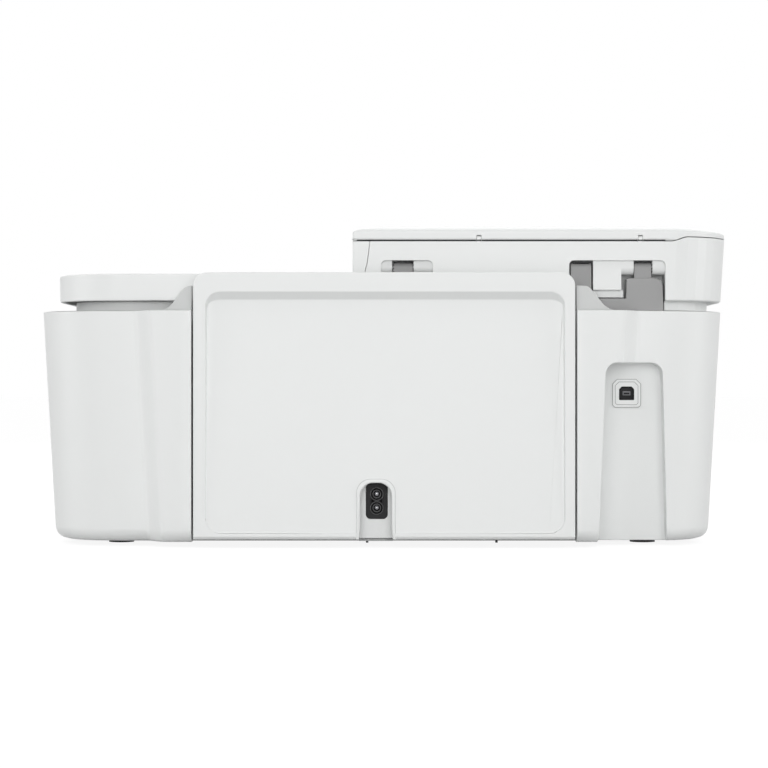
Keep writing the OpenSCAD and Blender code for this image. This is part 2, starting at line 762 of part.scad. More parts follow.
module chassis() {
  color([0.72, 0.73, 0.74])
    translate([0, mech_y, 0])
    union() {
      chassis_side(-plate_x, -plate_x + plate_t,
        [[-80, floor_z + 0.1], [126, floor_z + 0.1], [126, 106], [104, 106], [60, 92], [50, 138], [-60, 138],
          [-62, 80], [-80, 76]],
        [[feed_c[0], feed_c[1], shaft_d + run_d], [exit_c[0], exit_c[1], shaft_d + run_d],
          [pick_c[0], pick_c[1], shaft_d + run_d], [rod_y0, rod_z0, rod_d]]);
      chassis_side(plate_x - plate_t, plate_x,
        [[-60, floor_z + 0.1], [50, floor_z + 0.1], [50, 138], [-60, 138]], [[rod_y0, rod_z0, rod_d]]);
      difference() {
        box([-plate_x + 1, 44, 84], [plate_x - 1, 46, 138]);
        rod_y(40, 50, pulley_x, belt_z, 9);
      }
      box([-plate_x + 1, 38, 136], [plate_x - 1, 46, 138]);
      box([-plate_x + 1, front_rail_y, 98], [plate_x - 1, front_rail_y + 2, 112]);
      rod_y(36, 45, -pulley_x, belt_z, 4);
      rod_x(-plate_x + 1, gear_x + gear_t + 0.8, exit_idler_c[0], exit_idler_c[1], stud_d);
      rod_x(-plate_x + 1, gear_x + gear_t + 0.8, pick_idler_c[0], pick_idler_c[1], stud_d);
    }
}
module carriage_rod() {
  color([0.78, 0.79, 0.8])
    translate([0, mech_y, 0])
    rod_x(-plate_x + 0.2, plate_x - 0.2, rod_y0, rod_z0, rod_d - 0.01);
}
cart_gap = 0.4;
cart_mid = park_x0 + carriage_w * 0.44;
module carriage() {
  color([0.16, 0.16, 0.17])
    translate([0, mech_y, 0])
    difference() {
      union() {
        box([park_x0, -40, 72], [park_x1, 22, 118]);
        rod_x(park_x0, park_x1, rod_y0, rod_z0, rod_d + 8);
        box([park_x0, 20, 100], [park_x1, rod_y0, 118]);
        box([park_c - 12, 20, belt_z + 3], [park_c + 12, 42.4, belt_z + 12]);
        box([park_x0 + 4, front_rail_y - 3, 112.4], [park_x1 - 4, -38, 115.4]);
        box([park_x0 + 4, front_rail_y - 3.4, 104], [park_x1 - 4, front_rail_y - 0.6, 115.4]);
      }
      box([park_x0 + 2, -38, 74.5], [cart_mid - 0.6, 20, 130]);
      box([cart_mid + 0.6, -38, 74.5], [park_x1 - 2, 20, 130]);
      box([park_x0 + 8, -24, 60], [cart_mid - 7, 8, 90]);
      box([cart_mid + 7, -24, 60], [park_x1 - 8, 8, 90]);
      rod_x(park_x0 - 1, park_x1 + 1, rod_y0, rod_z0, rod_d + run_d);
      box([park_c - 20, belt_y - 0.5, belt_z + belt_r - 1.9], [park_c + 20, belt_y + belt_w + 0.3, belt_z + belt_r + 0.5]);
    }
}
module cartridge(x0, x1) {
  along_x(x0 + cart_gap, x1 - cart_gap)
    polygon([[-37.6, 74.9], [19.6, 74.9], [19.6, 116], [14, 124], [-32, 124], [-37.6, 119]]);
  box([x0 + 7, -22, nozzle_z], [x1 - 7, 6, 76]);
}
module black_cartridge() {
  color([0.1, 0.1, 0.1])
    translate([0, mech_y, 0])
    cartridge(park_x0 + 2, cart_mid - 0.6);
}
module color_cartridge() {
  color([0.2, 0.3, 0.5])
    translate([0, mech_y, 0])
    cartridge(cart_mid + 0.6, park_x1 - 2);
}
module drive_belt() {
  color([0.08, 0.08, 0.08])
    translate([0, mech_y, 0])
    along_y(belt_y, belt_y + belt_w)
      difference() {
        union() {
          translate([-pulley_x, belt_z - belt_r])
            square([2 * pulley_x, 2 * belt_r]);
          for (s = [-1, 1])
            translate([s * pulley_x, belt_z])
              circle(r = belt_r, $fn = fine);
        }
        translate([-pulley_x, belt_z - belt_r + 0.8])
          square([2 * pulley_x, 2 * belt_r - 1.6]);
        for (s = [-1, 1])
          translate([s * pulley_x, belt_z])
            circle(r = belt_r - 0.8, $fn = fine);
      }
}
module drive_motors() {
  color([0.68, 0.69, 0.7])
    translate([0, mech_y, 0]) {
    rod_y(46.1, 76, pulley_x - 3, belt_z, 28);
    rod_x(gear_x + gear_t + 1.5, gear_x + gear_t + 31, pinion_c[0], pinion_c[1], 28);
  }
}
module motor_pulley() {
  color([0.3, 0.3, 0.31])
    translate([0, mech_y, 0])
    union() {
      rod_y(belt_y + 0.2, belt_y + belt_w - 0.2, pulley_x, belt_z, 2 * pulley_r);
      rod_y(belt_y - 0.6, 46, pulley_x, belt_z, 3);
    }
}
module idler_pulley() {
  color([0.3, 0.3, 0.31])
    translate([0, mech_y, 0])
    difference() {
      rod_y(belt_y + 0.2, belt_y + belt_w - 0.2, -pulley_x, belt_z, 2 * pulley_r);
      rod_y(belt_y - 2, belt_y + belt_w + 2, -pulley_x, belt_z, 4 + run_d);
    }
}
bracket_z = 60;
module platen() {
  color([0.13, 0.13, 0.14])
    translate([0, mech_y, 0])
    union() {
      box([-path_x, -50, 62], [path_x, 38, 65.5]);
      for (x = [-96:16:96])
        box([x - 0.8, -46, 65], [x + 0.8, 34, 68]);
      for (s = [-1, 1])
        difference() {
          along_x(s > 0 ? bracket_x : -bracket_x - bracket_t, s > 0 ? bracket_x + bracket_t : -bracket_x)
            polygon([[-74, floor_z + 0.1], [130, floor_z + 0.1], [130, 104], [106, 104], [60, 82], [42, 82],
              [42, 58], [-50, 58], [-54, 82], [-74, 82]]);
          for (c = [feed_c, exit_c, pick_c])
            rod_x(s * bracket_x - 6, s * bracket_x + 6, c[0], c[1], shaft_d + run_d);
          rod_x(s * bracket_x - 6, s * bracket_x + 6, feed_c[0], pinch_z, 3 + run_d);
          rod_x(s * bracket_x - 6, s * bracket_x + 6, exit_c[0], star_z, 3 + run_d);
        }
      for (x = [-bracket_x - bracket_t, path_x - 1])
        box([x, -46, 54], [x + bracket_x + bracket_t - path_x + 1, -40, 65]);
      for (x = [-bracket_x - bracket_t, path_x - 1])
        box([x, 42, 54], [x + bracket_x + bracket_t - path_x + 1, 43.4, 60]);
    }
}
pinch_r = 4;
pinch_z = feed_c[1] + feed_d / 2 + pinch_r + 0.15;
star_r = 5;
star_z = exit_c[1] + feed_d / 2 + star_r + 0.15;
shaft_x0 = -plate_x - 1.5;
shaft_x1 = bracket_x + bracket_t + 1;
module feed_roller() {
  color([0.5, 0.51, 0.52])
    translate([0, mech_y, 0])
    union() {
      rod_x(shaft_x0, shaft_x1, feed_c[0], feed_c[1], shaft_d);
      rod_x(-half_sheet - 2, half_sheet + 2, feed_c[0], feed_c[1], feed_d);
      gear_at(feed_c, feed_teeth, feed_turn, shaft_d - 0.2);
    }
}
module exit_roller() {
  color([0.2, 0.2, 0.21])
    translate([0, mech_y, 0])
    union() {
      rod_x(shaft_x0, shaft_x1, exit_c[0], exit_c[1], shaft_d);
      for (x = [-88:44:88])
        rod_x(x - 6, x + 6, exit_c[0], exit_c[1], feed_d);
      gear_at(exit_c, feed_teeth, exit_turn, shaft_d - 0.2);
    }
}
module pick_roller() {
  color([0.25, 0.25, 0.26])
    translate([0, mech_y, 0])
    union() {
      rod_x(shaft_x0, shaft_x1, pick_c[0], pick_c[1], shaft_d);
      rod_x(-28, -8, pick_c[0], pick_c[1], pick_d);
      rod_x(8, 28, pick_c[0], pick_c[1], pick_d);
      rod_x(-8.5, 8.5, pick_c[0], pick_c[1], pick_d - 6);
      gear_at(pick_c, pick_teeth, pick_turn, shaft_d - 0.2);
    }
}
module pinch_rollers() {
  color([0.3, 0.3, 0.3])
    translate([0, mech_y, 0])
    union() {
      rod_x(-bracket_x - bracket_t - 0.5, bracket_x + bracket_t + 0.5, feed_c[0], pinch_z, 3);
      for (x = [-90:36:90])
        rod_x(x - 9, x + 9, feed_c[0], pinch_z, 2 * pinch_r);
    }
}
module star_wheels() {
  color([0.8, 0.8, 0.78])
    translate([0, mech_y, 0])
    union() {
      rod_x(-bracket_x - bracket_t - 0.5, bracket_x + bracket_t + 0.5, exit_c[0], star_z, 3);
      for (x = [-88:22:88])
        translate([x - 0.5, exit_c[0], star_z])
          rotate([90, 0, 90])
            linear_extrude(1)
              polygon([for (a = [0:15:345]) [(a % 30 == 0 ? star_r : star_r - 1.2) * cos(a),
                (a % 30 == 0 ? star_r : star_r - 1.2) * sin(a)]]);
    }
}
module exit_idler() {
  color([0.85, 0.85, 0.82])
    translate([0, mech_y, 0])
    gear_at(exit_idler_c, exit_idler_teeth, exit_idler_turn, stud_d + run_d);
}
module pick_idler() {
  color([0.85, 0.85, 0.82])
    translate([0, mech_y, 0])
    gear_at(pick_idler_c, pick_idler_teeth, pick_idler_turn, stud_d + run_d);
}
module motor_pinion() {
  color([0.8, 0.7, 0.4])
    translate([0, mech_y, 0])
    union() {
      gear_at(pinion_c, pinion_teeth, pinion_turn, 2.8);
      rod_x(gear_x - 0.5, gear_x + gear_t + 1.4, pinion_c[0], pinion_c[1], 3);
    }
}
ramp_end = 146.7;
module feed_ramp() {
  color([0.14, 0.14, 0.15])
    translate([0, mech_y, 0])
    union() {
      along_x(-path_x - 0.5, path_x + 0.5)
        polygon([[ramp_end, 83], [pick_c[0] + 12, pick_c[1] - pick_d / 2 - 3.4],
          [pick_c[0] - 8, pick_c[1] - pick_d / 2 - 3.4], [90, 73], [feed_c[0] + 9, feed_c[1] + 4.2],
          [feed_c[0] + 9, feed_c[1] + 1.2], [90, 70], [pick_c[0] - 8, pick_c[1] - pick_d / 2 - 6.4],
          [ramp_end, 79]]);
      box([-14, pick_c[0] - 8, pick_c[1] - pick_d / 2 - 4], [14, pick_c[0] + 9, pick_c[1] - pick_d / 2 - 1]);
    }
}
module service_station() {
  color([0.2, 0.2, 0.21])
    translate([0, mech_y, 0])
    difference() {
      box([station_x, -46, floor_z + 0.1], [plate_x - plate_t - 1, 30, 60]);
      box([station_x + 2, -44, 42], [plate_x - plate_t - 3, 28, 70]);
      for (y = [-36:14:20])
        box([station_x + 6, y, 20], [plate_x - plate_t - 7, y + 9, 50]);
    }
}
cap_x0 = max(park_x0 + 7, station_x + 2);
module cap_sled() {
  color([0.1, 0.1, 0.1])
    translate([0, mech_y, 0])
    union() {
      box([station_x + 4, -34, 50], [plate_x - plate_t - 5, 18, 60]);
      difference() {
        box([cap_x0, -26, 59], [park_x1 - 7, 10, nozzle_z - 0.3]);
        box([cap_x0 + 2, -24, 64], [cart_mid - 4, 8, 80]);
        box([cart_mid + 4, -24, 64], [park_x1 - 9, 8, 80]);
      }
      box([station_x + 4.5, -24, 59], [station_x + 6, 8, nozzle_z - 0.6]);
    }
}

// ---- output tray ----
module output_tray() {
  color([0.2, 0.2, 0.21])
    difference() {
      union() {
        box([-tray_half + 1, tray_front, out_z], [tray_half - 1, -16, out_z + 3]);
        for (s = [-1, 1])
          box([s * (tray_half - 2.5) - 1.3, tray_front, out_z], [s * (tray_half - 2.5) + 1.3, -16, out_z + 6]);
        box([-half_sheet - 2, tray_front - 5, out_z - 2.4], [half_sheet + 2, tray_front + eps, out_z + 10]);
        for (x = [-51.2, 48.2])
          box([x, flap_y - 2.6, out_z + 2], [x + 3, flap_y + 2.6, flap_z + 2.4]);
      }
      rod_x(-60, 60, flap_y, flap_z, 2.4 + run_d);
      box([-56, tray_front - 42, out_z - 5], [56, tray_front + 18, out_z + 0.2]);
      box([-48, flap_y - 3.6, out_z + 1.5], [48, flap_y + 34, out_z + 20]);
      along_y(tray_front - 42, tray_front - 1.9)
        translate([0, out_z + 15])
          circle(r = 16, $fn = fine);
    }
}
module tray_extension() {
  color([0.26, 0.26, 0.27])
    union() {
      box([-50, tray_front - 2, out_z - 3.4], [50, tray_front + 118, out_z - 0.4]);
      box([-54, tray_front - 6, out_z - 4.4], [54, tray_front - 2 + eps, out_z - 0.3]);
    }
}
module stop_flap() {
  color([0.3, 0.3, 0.31])
    union() {
      box([-44, flap_y - 0.6, flap_z - 1.2], [44, flap_y + 31, flap_z + 1.2]);
      rod_x(-50.6, 50.6, flap_y, flap_z, 2.4);
    }
}

// ---- rear tray ----
dish_d = 4.2;
dish_x0 = -112;
dish_x1 = 108;
dish_z0 = 9;
dish_z1 = 156.8;
dish_r = 9;
dish_min = 0.3;
function dish_y(z, z1) = tray_y - dish_min - (dish_d - dish_min) * max(0, z - dish_z0) / (z1 - dish_z0);
function dish_ring(e) =
  let (x0 = dish_x0, x1 = dish_x1, r = dish_r)
  concat(arc(x1 - r, dish_z0 + r, r, -90, 0, 6), arc(x1 - r, dish_z1 - r, r, 0, 90, 10),
    arc(x0 + r, dish_z1 - r, r, 90, 180, 10), arc(x0 + r, dish_z0 + r, r, 180, 270, 6));
module dish() {
  top = dish_ring(0);
  mid_x = (dish_x0 + dish_x1) / 2;
  low = [for (p = top)
    let (k = 4.6 * pow(max(0, p[1] - dish_z0) / (dish_z1 - dish_z0), 2),
      c = max(0, min(1, (p[1] - (dish_z1 - dish_r)) / dish_r)))
    [p[0] - sign(p[0] - mid_x) * (0.4 + 0.12 * k), p[1] - k * c + (p[1] < dish_z0 + dish_r ? 0.3 : 0)]];
  rings = [
    [for (p = top) [p[0], tray_y + 5, p[1]]],
    [for (p = top) [p[0], tray_y, p[1]]],
    [for (p = low) [p[0], dish_y(p[1], dish_z1 - 4.6), p[1]]]];
  loft(rings);
}
module tray_panel() {
  color([0.9, 0.91, 0.91])
    difference() {
      union() {
        along_y(tray_in_y, tray_y)
          round_rect(tray_x0, tray_x1, tray_z0, tray_top, tray_r);
        along_y(tray_in_y, tray_y)
          translate([tray_x0, tray_z0])
            square([tray_w, 40]);
        for (s = [-1, 1])
          along_x(s * lug_x - lug_half, s * lug_x + lug_half)
            union() {
              translate([lean_y, lean_z])
                circle(d = lean_pin_d + 4, $fn = fine);
              translate([lean_y, lean_z - lean_pin_d / 2 - 2])
                square([tray_in_y - lean_y + 0.5, lean_pin_d + 4]);
            }
      }
      dish();
      along_y(tray_in_y - 5, tray_y + 5)
        notch_shape(0);
      translate([0, tray_y, tray_z0])
        rotate([45, 0, 0])
          cube([400, 2.4, 2.4], center = true);
      for (s = [-1, 1])
        rod_x(s * lug_x - 6, s * lug_x + 6, lean_y, lean_z, lean_pin_d + run_d);
      box([tray_x0 + 12, tray_in_y - 1, 52], [tray_x1 - 12, tray_in_y + 0.6, 112]);
      box([-guide_x + 6, tray_in_y - 1, guide_z - 3.2], [guide_x - 6, tray_in_y + 0.9, guide_z + 3.2]);
    }
}
cheek_y1 = lean_y + 2.5;
module tray_carrier() {
  color([0.55, 0.56, 0.57])
    union() {
      for (s = [-1, 1]) {
        c = s * lug_x;
        difference() {
          box([c - 4.2, rear_reach + 2, lean_z - 3.5], [c + 4.2, cheek_y1, 54]);
          box([c - lug_half - 0.3, rear_reach, 0], [c + lug_half + 0.3, tray_y, lean_z + lean_pin_d / 2 + 3]);
        }
        rod_x(c - 4, c + 4, lean_y, lean_z, lean_pin_d);
      }
      box([-lug_x, rear_reach + 2, 46], [lug_x, rear_reach + 6.5, 54]);
    }
}
rack_y0 = tray_in_y - 2.1;
rack_y1 = tray_in_y - 0.3;
module guide(s) {
  x0 = s < 0 ? -guide_x - 2 : guide_x;
  z0 = s < 0 ? guide_z + 3.7 : guide_z - 8.2;
  union() {
    box([x0, rear_reach + 2, guide_z - 18], [x0 + 2, rack_y0 - 0.3, guide_z + 24]);
    box([x0, rack_y0 - 1, z0], [x0 + 2, rack_y1, z0 + 4.5]);
    box([s < 0 ? x0 : -40, rack_y0, z0], [s < 0 ? 40 : x0 + 2, rack_y1, z0 + 4.5]);
  }
}
module guide_left() { color([0.75, 0.76, 0.77]) guide(-1); }
module guide_right() { color([0.75, 0.76, 0.77]) guide(1); }

// ---- scanner unit ----
function unit_ring(z, e, x1 = 0) =
  rr_ring(unit_x0 + e + 0.067 * (seam_z - min(z, seam_z)), unit_x1 - min(e, x1 > 0 ? x1 : e),
    -front_reach + e, rear_reach - e, [max(2, 3 - e), 1.2, max(3, rear_r - e), max(3, front_r - e)], z);
module unit_shell() {
  difference() {
    loft([unit_ring(unit_z, 0.9), unit_ring(unit_z + 0.5, 0.2), unit_ring(unit_z + 1, 0),
      unit_ring(seam_z + rise_z, 0)]);
    loft([unit_ring(unit_z + 2, wall), unit_ring(seam_z, wall), unit_ring(seam_z + 10, wall)]);
  }
}
// Skirt under the scanner unit that closes the groove over the base.
module unit_skirt() {
  translate([0, 0, base_top + 0.35])
    linear_extrude(unit_z - base_top - 0.35 + eps)
      difference() {
        polygon(neck_ring(side_x + 7.3, split_foot - 0.4, 0, true));
        polygon(neck_ring(side_x + 7.3, split_foot - 0.4, neck_t, true));
      }
}
// Line of the lid seam in X,Z; it climbs towards the far end.
rise_x = side_x + 34.5;
module seam_cut(z) {
  polygon([[60, z + 30], [60, z], [rise_x, z], [rise_x - 2.5, z + 0.35], [rise_x - 5.2, z + 1.3],
    [rise_x - 7.8, z + 2.3], [rise_x - 10, z + rise_z], [-300, z + rise_z], [-300, z + 30]]);
}
split_foot = split_x - 6.2;
module split_cut(d) {
  x = split_foot + d;
  polygon([[x - 5.4, seam_z + 9], [x - 4.8, seam_z], [x - 4, seam_z - 7], [x - 2.9, seam_z - 14.3],
    [x - 1.6, seam_z - 19.5], [x - 0.4, seam_z - 27], [x, unit_z - 5], [60, unit_z - 5], [60, seam_z + 9]]);
}
module recess_cut(r) {
  along_y(recess_y, rear_reach + 5)
    polygon(concat([[r[1], unit_z - 5]], arc(r[1] - 3, recess_top - 3, 3, 0, 90, 4),
      arc(r[0] + 3, recess_top - 3, 3, 90, 180, 4), [[r[0], unit_z - 5]]));
}
module knuckle(x0, x1) {
  difference() {
    union() {
      rod_x(x0, x1, axis_y, axis_z, 8.8);
      box([x0, axis_y - 4.4, axis_z], [x1, axis_y + 4.4, recess_top + 1]);
    }
    rod_x(x0 - 1, x1 + 1, axis_y, axis_z, pin_d + run_d);
  }
}
module scanner_housing() {
  color([0.9, 0.91, 0.91])
    union() {
      difference() {
        union() {
          difference() {
            unit_shell();
            along_y(-400, 400)
              seam_cut(seam_z);
            along_y(-400, 400)
              split_cut(-0.15);
          }
          unit_skirt();
          for (r = [recess_l, recess_r])
            box([r[0] - 2, recess_y - 2, unit_z + 1], [r[1] + 2, rear_reach - 1, recess_top + 2]);
        }
        recess_cut(recess_l);
        recess_cut(recess_r);
        for (r = [recess_l, recess_r])
          box([r[0], recess_y - 2, base_top], [r[1], rear_reach, unit_z + 1]);
        box([side_x + 85, recess_y - 3, axis_z - 4], [side_x + 95, recess_y + 1, axis_z + 1]);
      }
      knuckle(neck_l[1] + gap, recess_l[1] + eps);
      knuckle(recess_l[0] - eps, neck_l[0] - gap);
      knuckle(neck_r[1] + gap, side_x + 66);
      knuckle(recess_r[0] - eps, neck_r[0] - gap);
      box([side_x + 65.6, recess_y - 0.5, axis_z - 13.8], [side_x + 83, axis_y + 4.4, recess_top + 0.5]);
      box([side_x + 64, recess_y - 0.5, axis_z - 18.4], [side_x + 83, axis_y + 1, axis_z - 13.9]);
      for (y = [-front_reach + 8, recess_y - 2])
        difference() {
          box([scan_rod_x - 6, y - 4, unit_z + 1.5], [scan_rod_x + 6, y, scan_rod_z + 5]);
          rod_y(-front_reach + 5 - eps, recess_y - 3.5, scan_rod_x, scan_rod_z, scan_rod_d);
        }
      for (x = lid_lugs) {
        difference() {
          union() {
            box([x - lug_w, lid_axis_y - 1.5, seam_z - 3], [x + lug_w, rear_reach, lid_axis_z]);
            rod_x(x - lug_w, x + lug_w, lid_axis_y, lid_axis_z, 3);
          }
          rod_x(x - 5, x + 5, lid_axis_y, lid_axis_z, lid_pin_d + run_d);
        }
      }
    }
}
lug_w = 1.2;
lid_lugs = [side_x + 54, side_x + 154];
scan_rod_x = side_x + 114;
scan_rod_z = unit_z + 8;
scan_rod_d = 6;
glass_x0 = side_x + 13;
glass_x1 = split_x - 13.4;
glass_y0 = -front_reach + 11;
glass_y1 = rear_reach - 18;
module scanner_bezel() {
  color([0.84, 0.85, 0.85])
    difference() {
      union() {
        translate([0, 0, seam_z - 2.5])
          linear_extrude(2.4)
            polygon([for (p = unit_ring(seam_z, wall + 0.3)) [p[0], min(p[1], rear_reach - 4.4)]]);
        difference() {
          unit_shell();
          along_y(-400, 400)
            seam_cut(seam_z);
          along_y(-400, 400)
            difference() {
              translate([-400, unit_z - 20])
                square([500, 200]);
              split_cut(0.15);
            }
        }
      }
      translate([0, 0, seam_z - 10])
        linear_extrude(20)
          round_rect(glass_x0, glass_x1, glass_y0, glass_y1, 3);
    }
}
module scanner_glass() {
  color([0.6, 0.75, 0.78])
    box([glass_x0 - 1, glass_y0 - 1, seam_z - 5.6], [glass_x1 + 1, glass_y1 + 1, seam_z - 2.6]);
}
bar_y1 = recess_y - 8;
bar_y0 = bar_y1 - 17;
module scan_bar() {
  color([0.15, 0.15, 0.16])
    difference() {
      union() {
        box([glass_x0 + 2, bar_y0, scan_rod_z + 5], [glass_x1 - 2, bar_y1, seam_z - 6.4]);
        box([scan_rod_x - 8, bar_y0, scan_rod_z - 5], [scan_rod_x + 8, bar_y1, scan_rod_z + 5.5]);
      }
      rod_y(bar_y0 - 1, bar_y1 + 1, scan_rod_x, scan_rod_z, scan_rod_d + run_d);
      box([glass_x0 + 6, bar_y0 + 6, seam_z - 12], [glass_x1 - 6, bar_y1 - 6, seam_z]);
    }
}
module scan_rod() {
  color([0.78, 0.79, 0.8])
    rod_y(-front_reach + 5, recess_y - 3.5, scan_rod_x, scan_rod_z, scan_rod_d);
}
module lid() {
  color([0.9, 0.91, 0.91])
    union() {
      difference() {
        loft(concat([unit_ring(lid_z, 0.5), unit_ring(lid_z + 0.4, 0)],
          [for (q = [[0, 0], [0.14, 0.6], [0.27, 2.4], [0.41, 5], [0.59, 11], [0.78, 18], [0.9, 32], [1, 76]])
            unit_ring(lid_z + lid_h + q[0] * lid_crown, q[1])]));
        along_y(-400, 400)
          difference() {
            translate([-400, lid_z - 20])
              square([500, 60]);
            seam_cut(lid_z);
          }
        box([glass_x0 - 2, glass_y0 - 2, lid_z - 20], [glass_x1 + 2, glass_y1 - 6, lid_z + 3.5]);
        along_x(-400, 400)
          polygon([[rear_reach - 2.2, lid_z - 1], [rear_reach + 1, lid_z - 1], [rear_reach + 1, lid_z + 2.2]]);
        for (x = lid_lugs)
          box([x - lug_w - 0.25, lid_axis_y - 1.8, lid_z - 1], [x + lug_w + 0.25, rear_reach + 1, lid_axis_z + 1.8]);
      }
      for (x = lid_lugs)
        rod_x(x - lug_w - 1, x + lug_w + 1, lid_axis_y, lid_axis_z, lid_pin_d);
    }
}
module lid_pad() {
  color([0.97, 0.97, 0.96])
    box([glass_x0 + 1.5, glass_y0 + 1.5, seam_z - 2.2], [glass_x1 - 1.5, glass_y1 - 10, lid_z + 3.45]);
}

bottom_pan();
feet();
left_side_cover();
right_side_cover();
front_cover();
rear_inner_cover();
inlet_socket();
inlet_pins();
port_bezel();
data_port();
top_frame();
hinge_posts();
hinge_pins();
deck_cover();
control_bezel();
display_window();
button_power();
button_menu();
button_minus();
button_plus();
button_ok();
button_stop();
button_start();
power_supply();
main_board();
chassis();
carriage_rod();
carriage();
black_cartridge();
color_cartridge();
drive_belt();
drive_motors();
motor_pulley();
idler_pulley();
platen();
feed_roller();
exit_roller();
pick_roller();
pinch_rollers();
star_wheels();
exit_idler();
pick_idler();
motor_pinion();
feed_ramp();
service_station();
cap_sled();
output_tray();
tray_extension();
stop_flap();
tray_carrier();
tray_panel();
guide_left();
guide_right();
scanner_housing();
scanner_bezel();
scanner_glass();
scan_bar();
scan_rod();
lid();
lid_pad();
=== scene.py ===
"""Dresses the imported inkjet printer: finishes for its solids, small added pieces, studio and camera."""
import json
import math

import bpy
from bpy.props import FloatProperty, FloatVectorProperty, PointerProperty
from mathutils import Matrix, Vector


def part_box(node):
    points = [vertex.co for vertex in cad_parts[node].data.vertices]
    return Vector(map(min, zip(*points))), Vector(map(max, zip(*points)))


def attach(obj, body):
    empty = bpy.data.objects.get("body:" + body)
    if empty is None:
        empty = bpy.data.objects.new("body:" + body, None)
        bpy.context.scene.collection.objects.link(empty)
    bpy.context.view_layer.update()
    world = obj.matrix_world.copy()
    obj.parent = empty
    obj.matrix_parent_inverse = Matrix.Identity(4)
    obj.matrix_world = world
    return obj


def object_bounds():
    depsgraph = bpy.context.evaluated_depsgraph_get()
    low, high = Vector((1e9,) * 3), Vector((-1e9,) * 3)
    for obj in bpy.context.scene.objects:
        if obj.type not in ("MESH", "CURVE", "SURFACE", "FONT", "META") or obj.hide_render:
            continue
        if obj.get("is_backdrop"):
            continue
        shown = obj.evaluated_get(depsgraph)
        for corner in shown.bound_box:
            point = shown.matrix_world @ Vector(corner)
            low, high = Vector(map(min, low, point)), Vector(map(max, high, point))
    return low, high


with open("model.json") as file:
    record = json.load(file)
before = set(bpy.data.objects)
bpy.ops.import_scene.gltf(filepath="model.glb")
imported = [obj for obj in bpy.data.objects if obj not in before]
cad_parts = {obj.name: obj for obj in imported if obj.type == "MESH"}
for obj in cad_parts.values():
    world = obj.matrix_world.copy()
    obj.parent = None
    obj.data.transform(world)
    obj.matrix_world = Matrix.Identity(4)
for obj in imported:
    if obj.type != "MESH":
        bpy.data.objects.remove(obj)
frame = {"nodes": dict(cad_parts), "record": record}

bl_info = {
    "name": "Inkjet Printer Dresser",
    "version": (1, 0, 0),
    "blender": (4, 5, 0),
    "location": "View3D > Sidebar > Printer",
    "description": "Finishes, small pieces and studio for a jointed inkjet printer",
    "category": "Object",
}

MM = 0.001
NODES = frame["nodes"]
CAD_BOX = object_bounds()
BODY_OF = {node: body for body, members in frame["record"]["behaviour"]["bodies"].items() for node in members}


# ---------------------------------------------------------------- settings
def colour(name, text, value):
    return FloatVectorProperty(name=name, description=text, subtype="COLOR", size=3, min=0.0, max=1.0,
                               default=value)


def length(name, text, value):
    return FloatProperty(name=name, description=text, default=value, min=0.0, unit="LENGTH")


def share(name, text, value):
    return FloatProperty(name=name, description=text, default=value, min=0.0, subtype="FACTOR")


class PrinterFinish(bpy.types.PropertyGroup):
    """Colours and surface values of the printer's finishes."""
    casing: colour("Casing", "Light satin moulding of the case", (0.80, 0.812, 0.806))
    trim: colour("Trim", "Light grey inner moulding", (0.60, 0.61, 0.605))
    hinge: colour("Hinge grey", "Mid grey hinge posts", (0.315, 0.315, 0.315))
    dark: colour("Dark plastic", "Trays and mechanism", (0.028, 0.029, 0.032))
    gloss_black: colour("Gloss black", "Panel and inlet", (0.006, 0.006, 0.007))
    steel: colour("Steel", "Plated sheet and shafts", (0.56, 0.57, 0.58))
    brass: colour("Contact metal", "Pins and pinion", (0.62, 0.52, 0.30))
    rubber: colour("Rubber", "Feet, belt and tyres", (0.030, 0.030, 0.032))
    foam: colour("Foam", "White pad under the lid", (0.82, 0.82, 0.80))
    glass: colour("Glass", "Flat scanner glass", (0.90, 0.96, 0.95))
    board: colour("Board", "Circuit board lacquer", (0.02, 0.13, 0.05))
    acetal: colour("Acetal", "Natural gears", (0.70, 0.70, 0.65))
    key: colour("Key", "Grey keys", (0.36, 0.37, 0.38))
    stop_key: colour("Stop key", "Red key", (0.50, 0.05, 0.03))
    start_key: colour("Start key", "Green key", (0.04, 0.30, 0.08))
    ink_blue: colour("Colour cartridge", "Blue cartridge shell", (0.06, 0.13, 0.32))
    ink_shell: colour("Black cartridge", "Black cartridge shell", (0.012, 0.012, 0.013))
    # Black of the inlet's moulding; also painted as shade in the port's mouth, round its rim and in the
    # tongue's groove
    socket: colour("Socket", "Moulding of the inlet and the port's mouth", (0.013, 0.013, 0.014))
    # Lighter than the socket's black as a painted highlight on the rings round the pins
    socket_rim: colour("Socket rim", "Rings round the inlet's pins", (0.062, 0.062, 0.064))
    # Darker than the steel as painted shade deep in the inlet
    pin: colour("Pin", "Shaded pins deep in the inlet", (0.16, 0.16, 0.17))
    tongue: colour("Port tongue", "Tongue of the data port", (0.13, 0.13, 0.14))
    lamp: colour("Lamp", "Lens of the status lamps", (0.03, 0.16, 0.07))
    label: colour("Label", "Blank cartridge labels", (0.55, 0.56, 0.57))
    icon: colour("Icon", "Signs on the keys and the display", (0.75, 0.76, 0.78))
    level: colour("Level", "Ink levels on the display", (0.10, 0.34, 0.55))
    cyan: colour("Cyan", "Cyan ink mark", (0.02, 0.42, 0.62))
    magenta: colour("Magenta", "Magenta ink mark", (0.62, 0.03, 0.28))
    yellow: colour("Yellow", "Yellow ink mark", (0.80, 0.62, 0.03))
    grain: share("Moulding grain", "Depth of the moulded texture", 0.06)


class PrinterSizes(bpy.types.PropertyGroup):
    """Sizes of the edge rounding and the screw heads."""
    edge: length("Casing edge", "Widest rounding of the moulded edges", 0.0005)
    screw: length("Frame screw", "Diameter of the heads in the top frame", 0.0062)
    pan_screw: length("Pan screw", "Diameter of the heads under the bottom pan", 0.007)
    small_screw: length("Small screw", "Diameter of the heads on the rail and the power supply", 0.005)
    tiny_screw: length("Tiny screw", "Diameter of the heads on the scan bar", 0.0026)


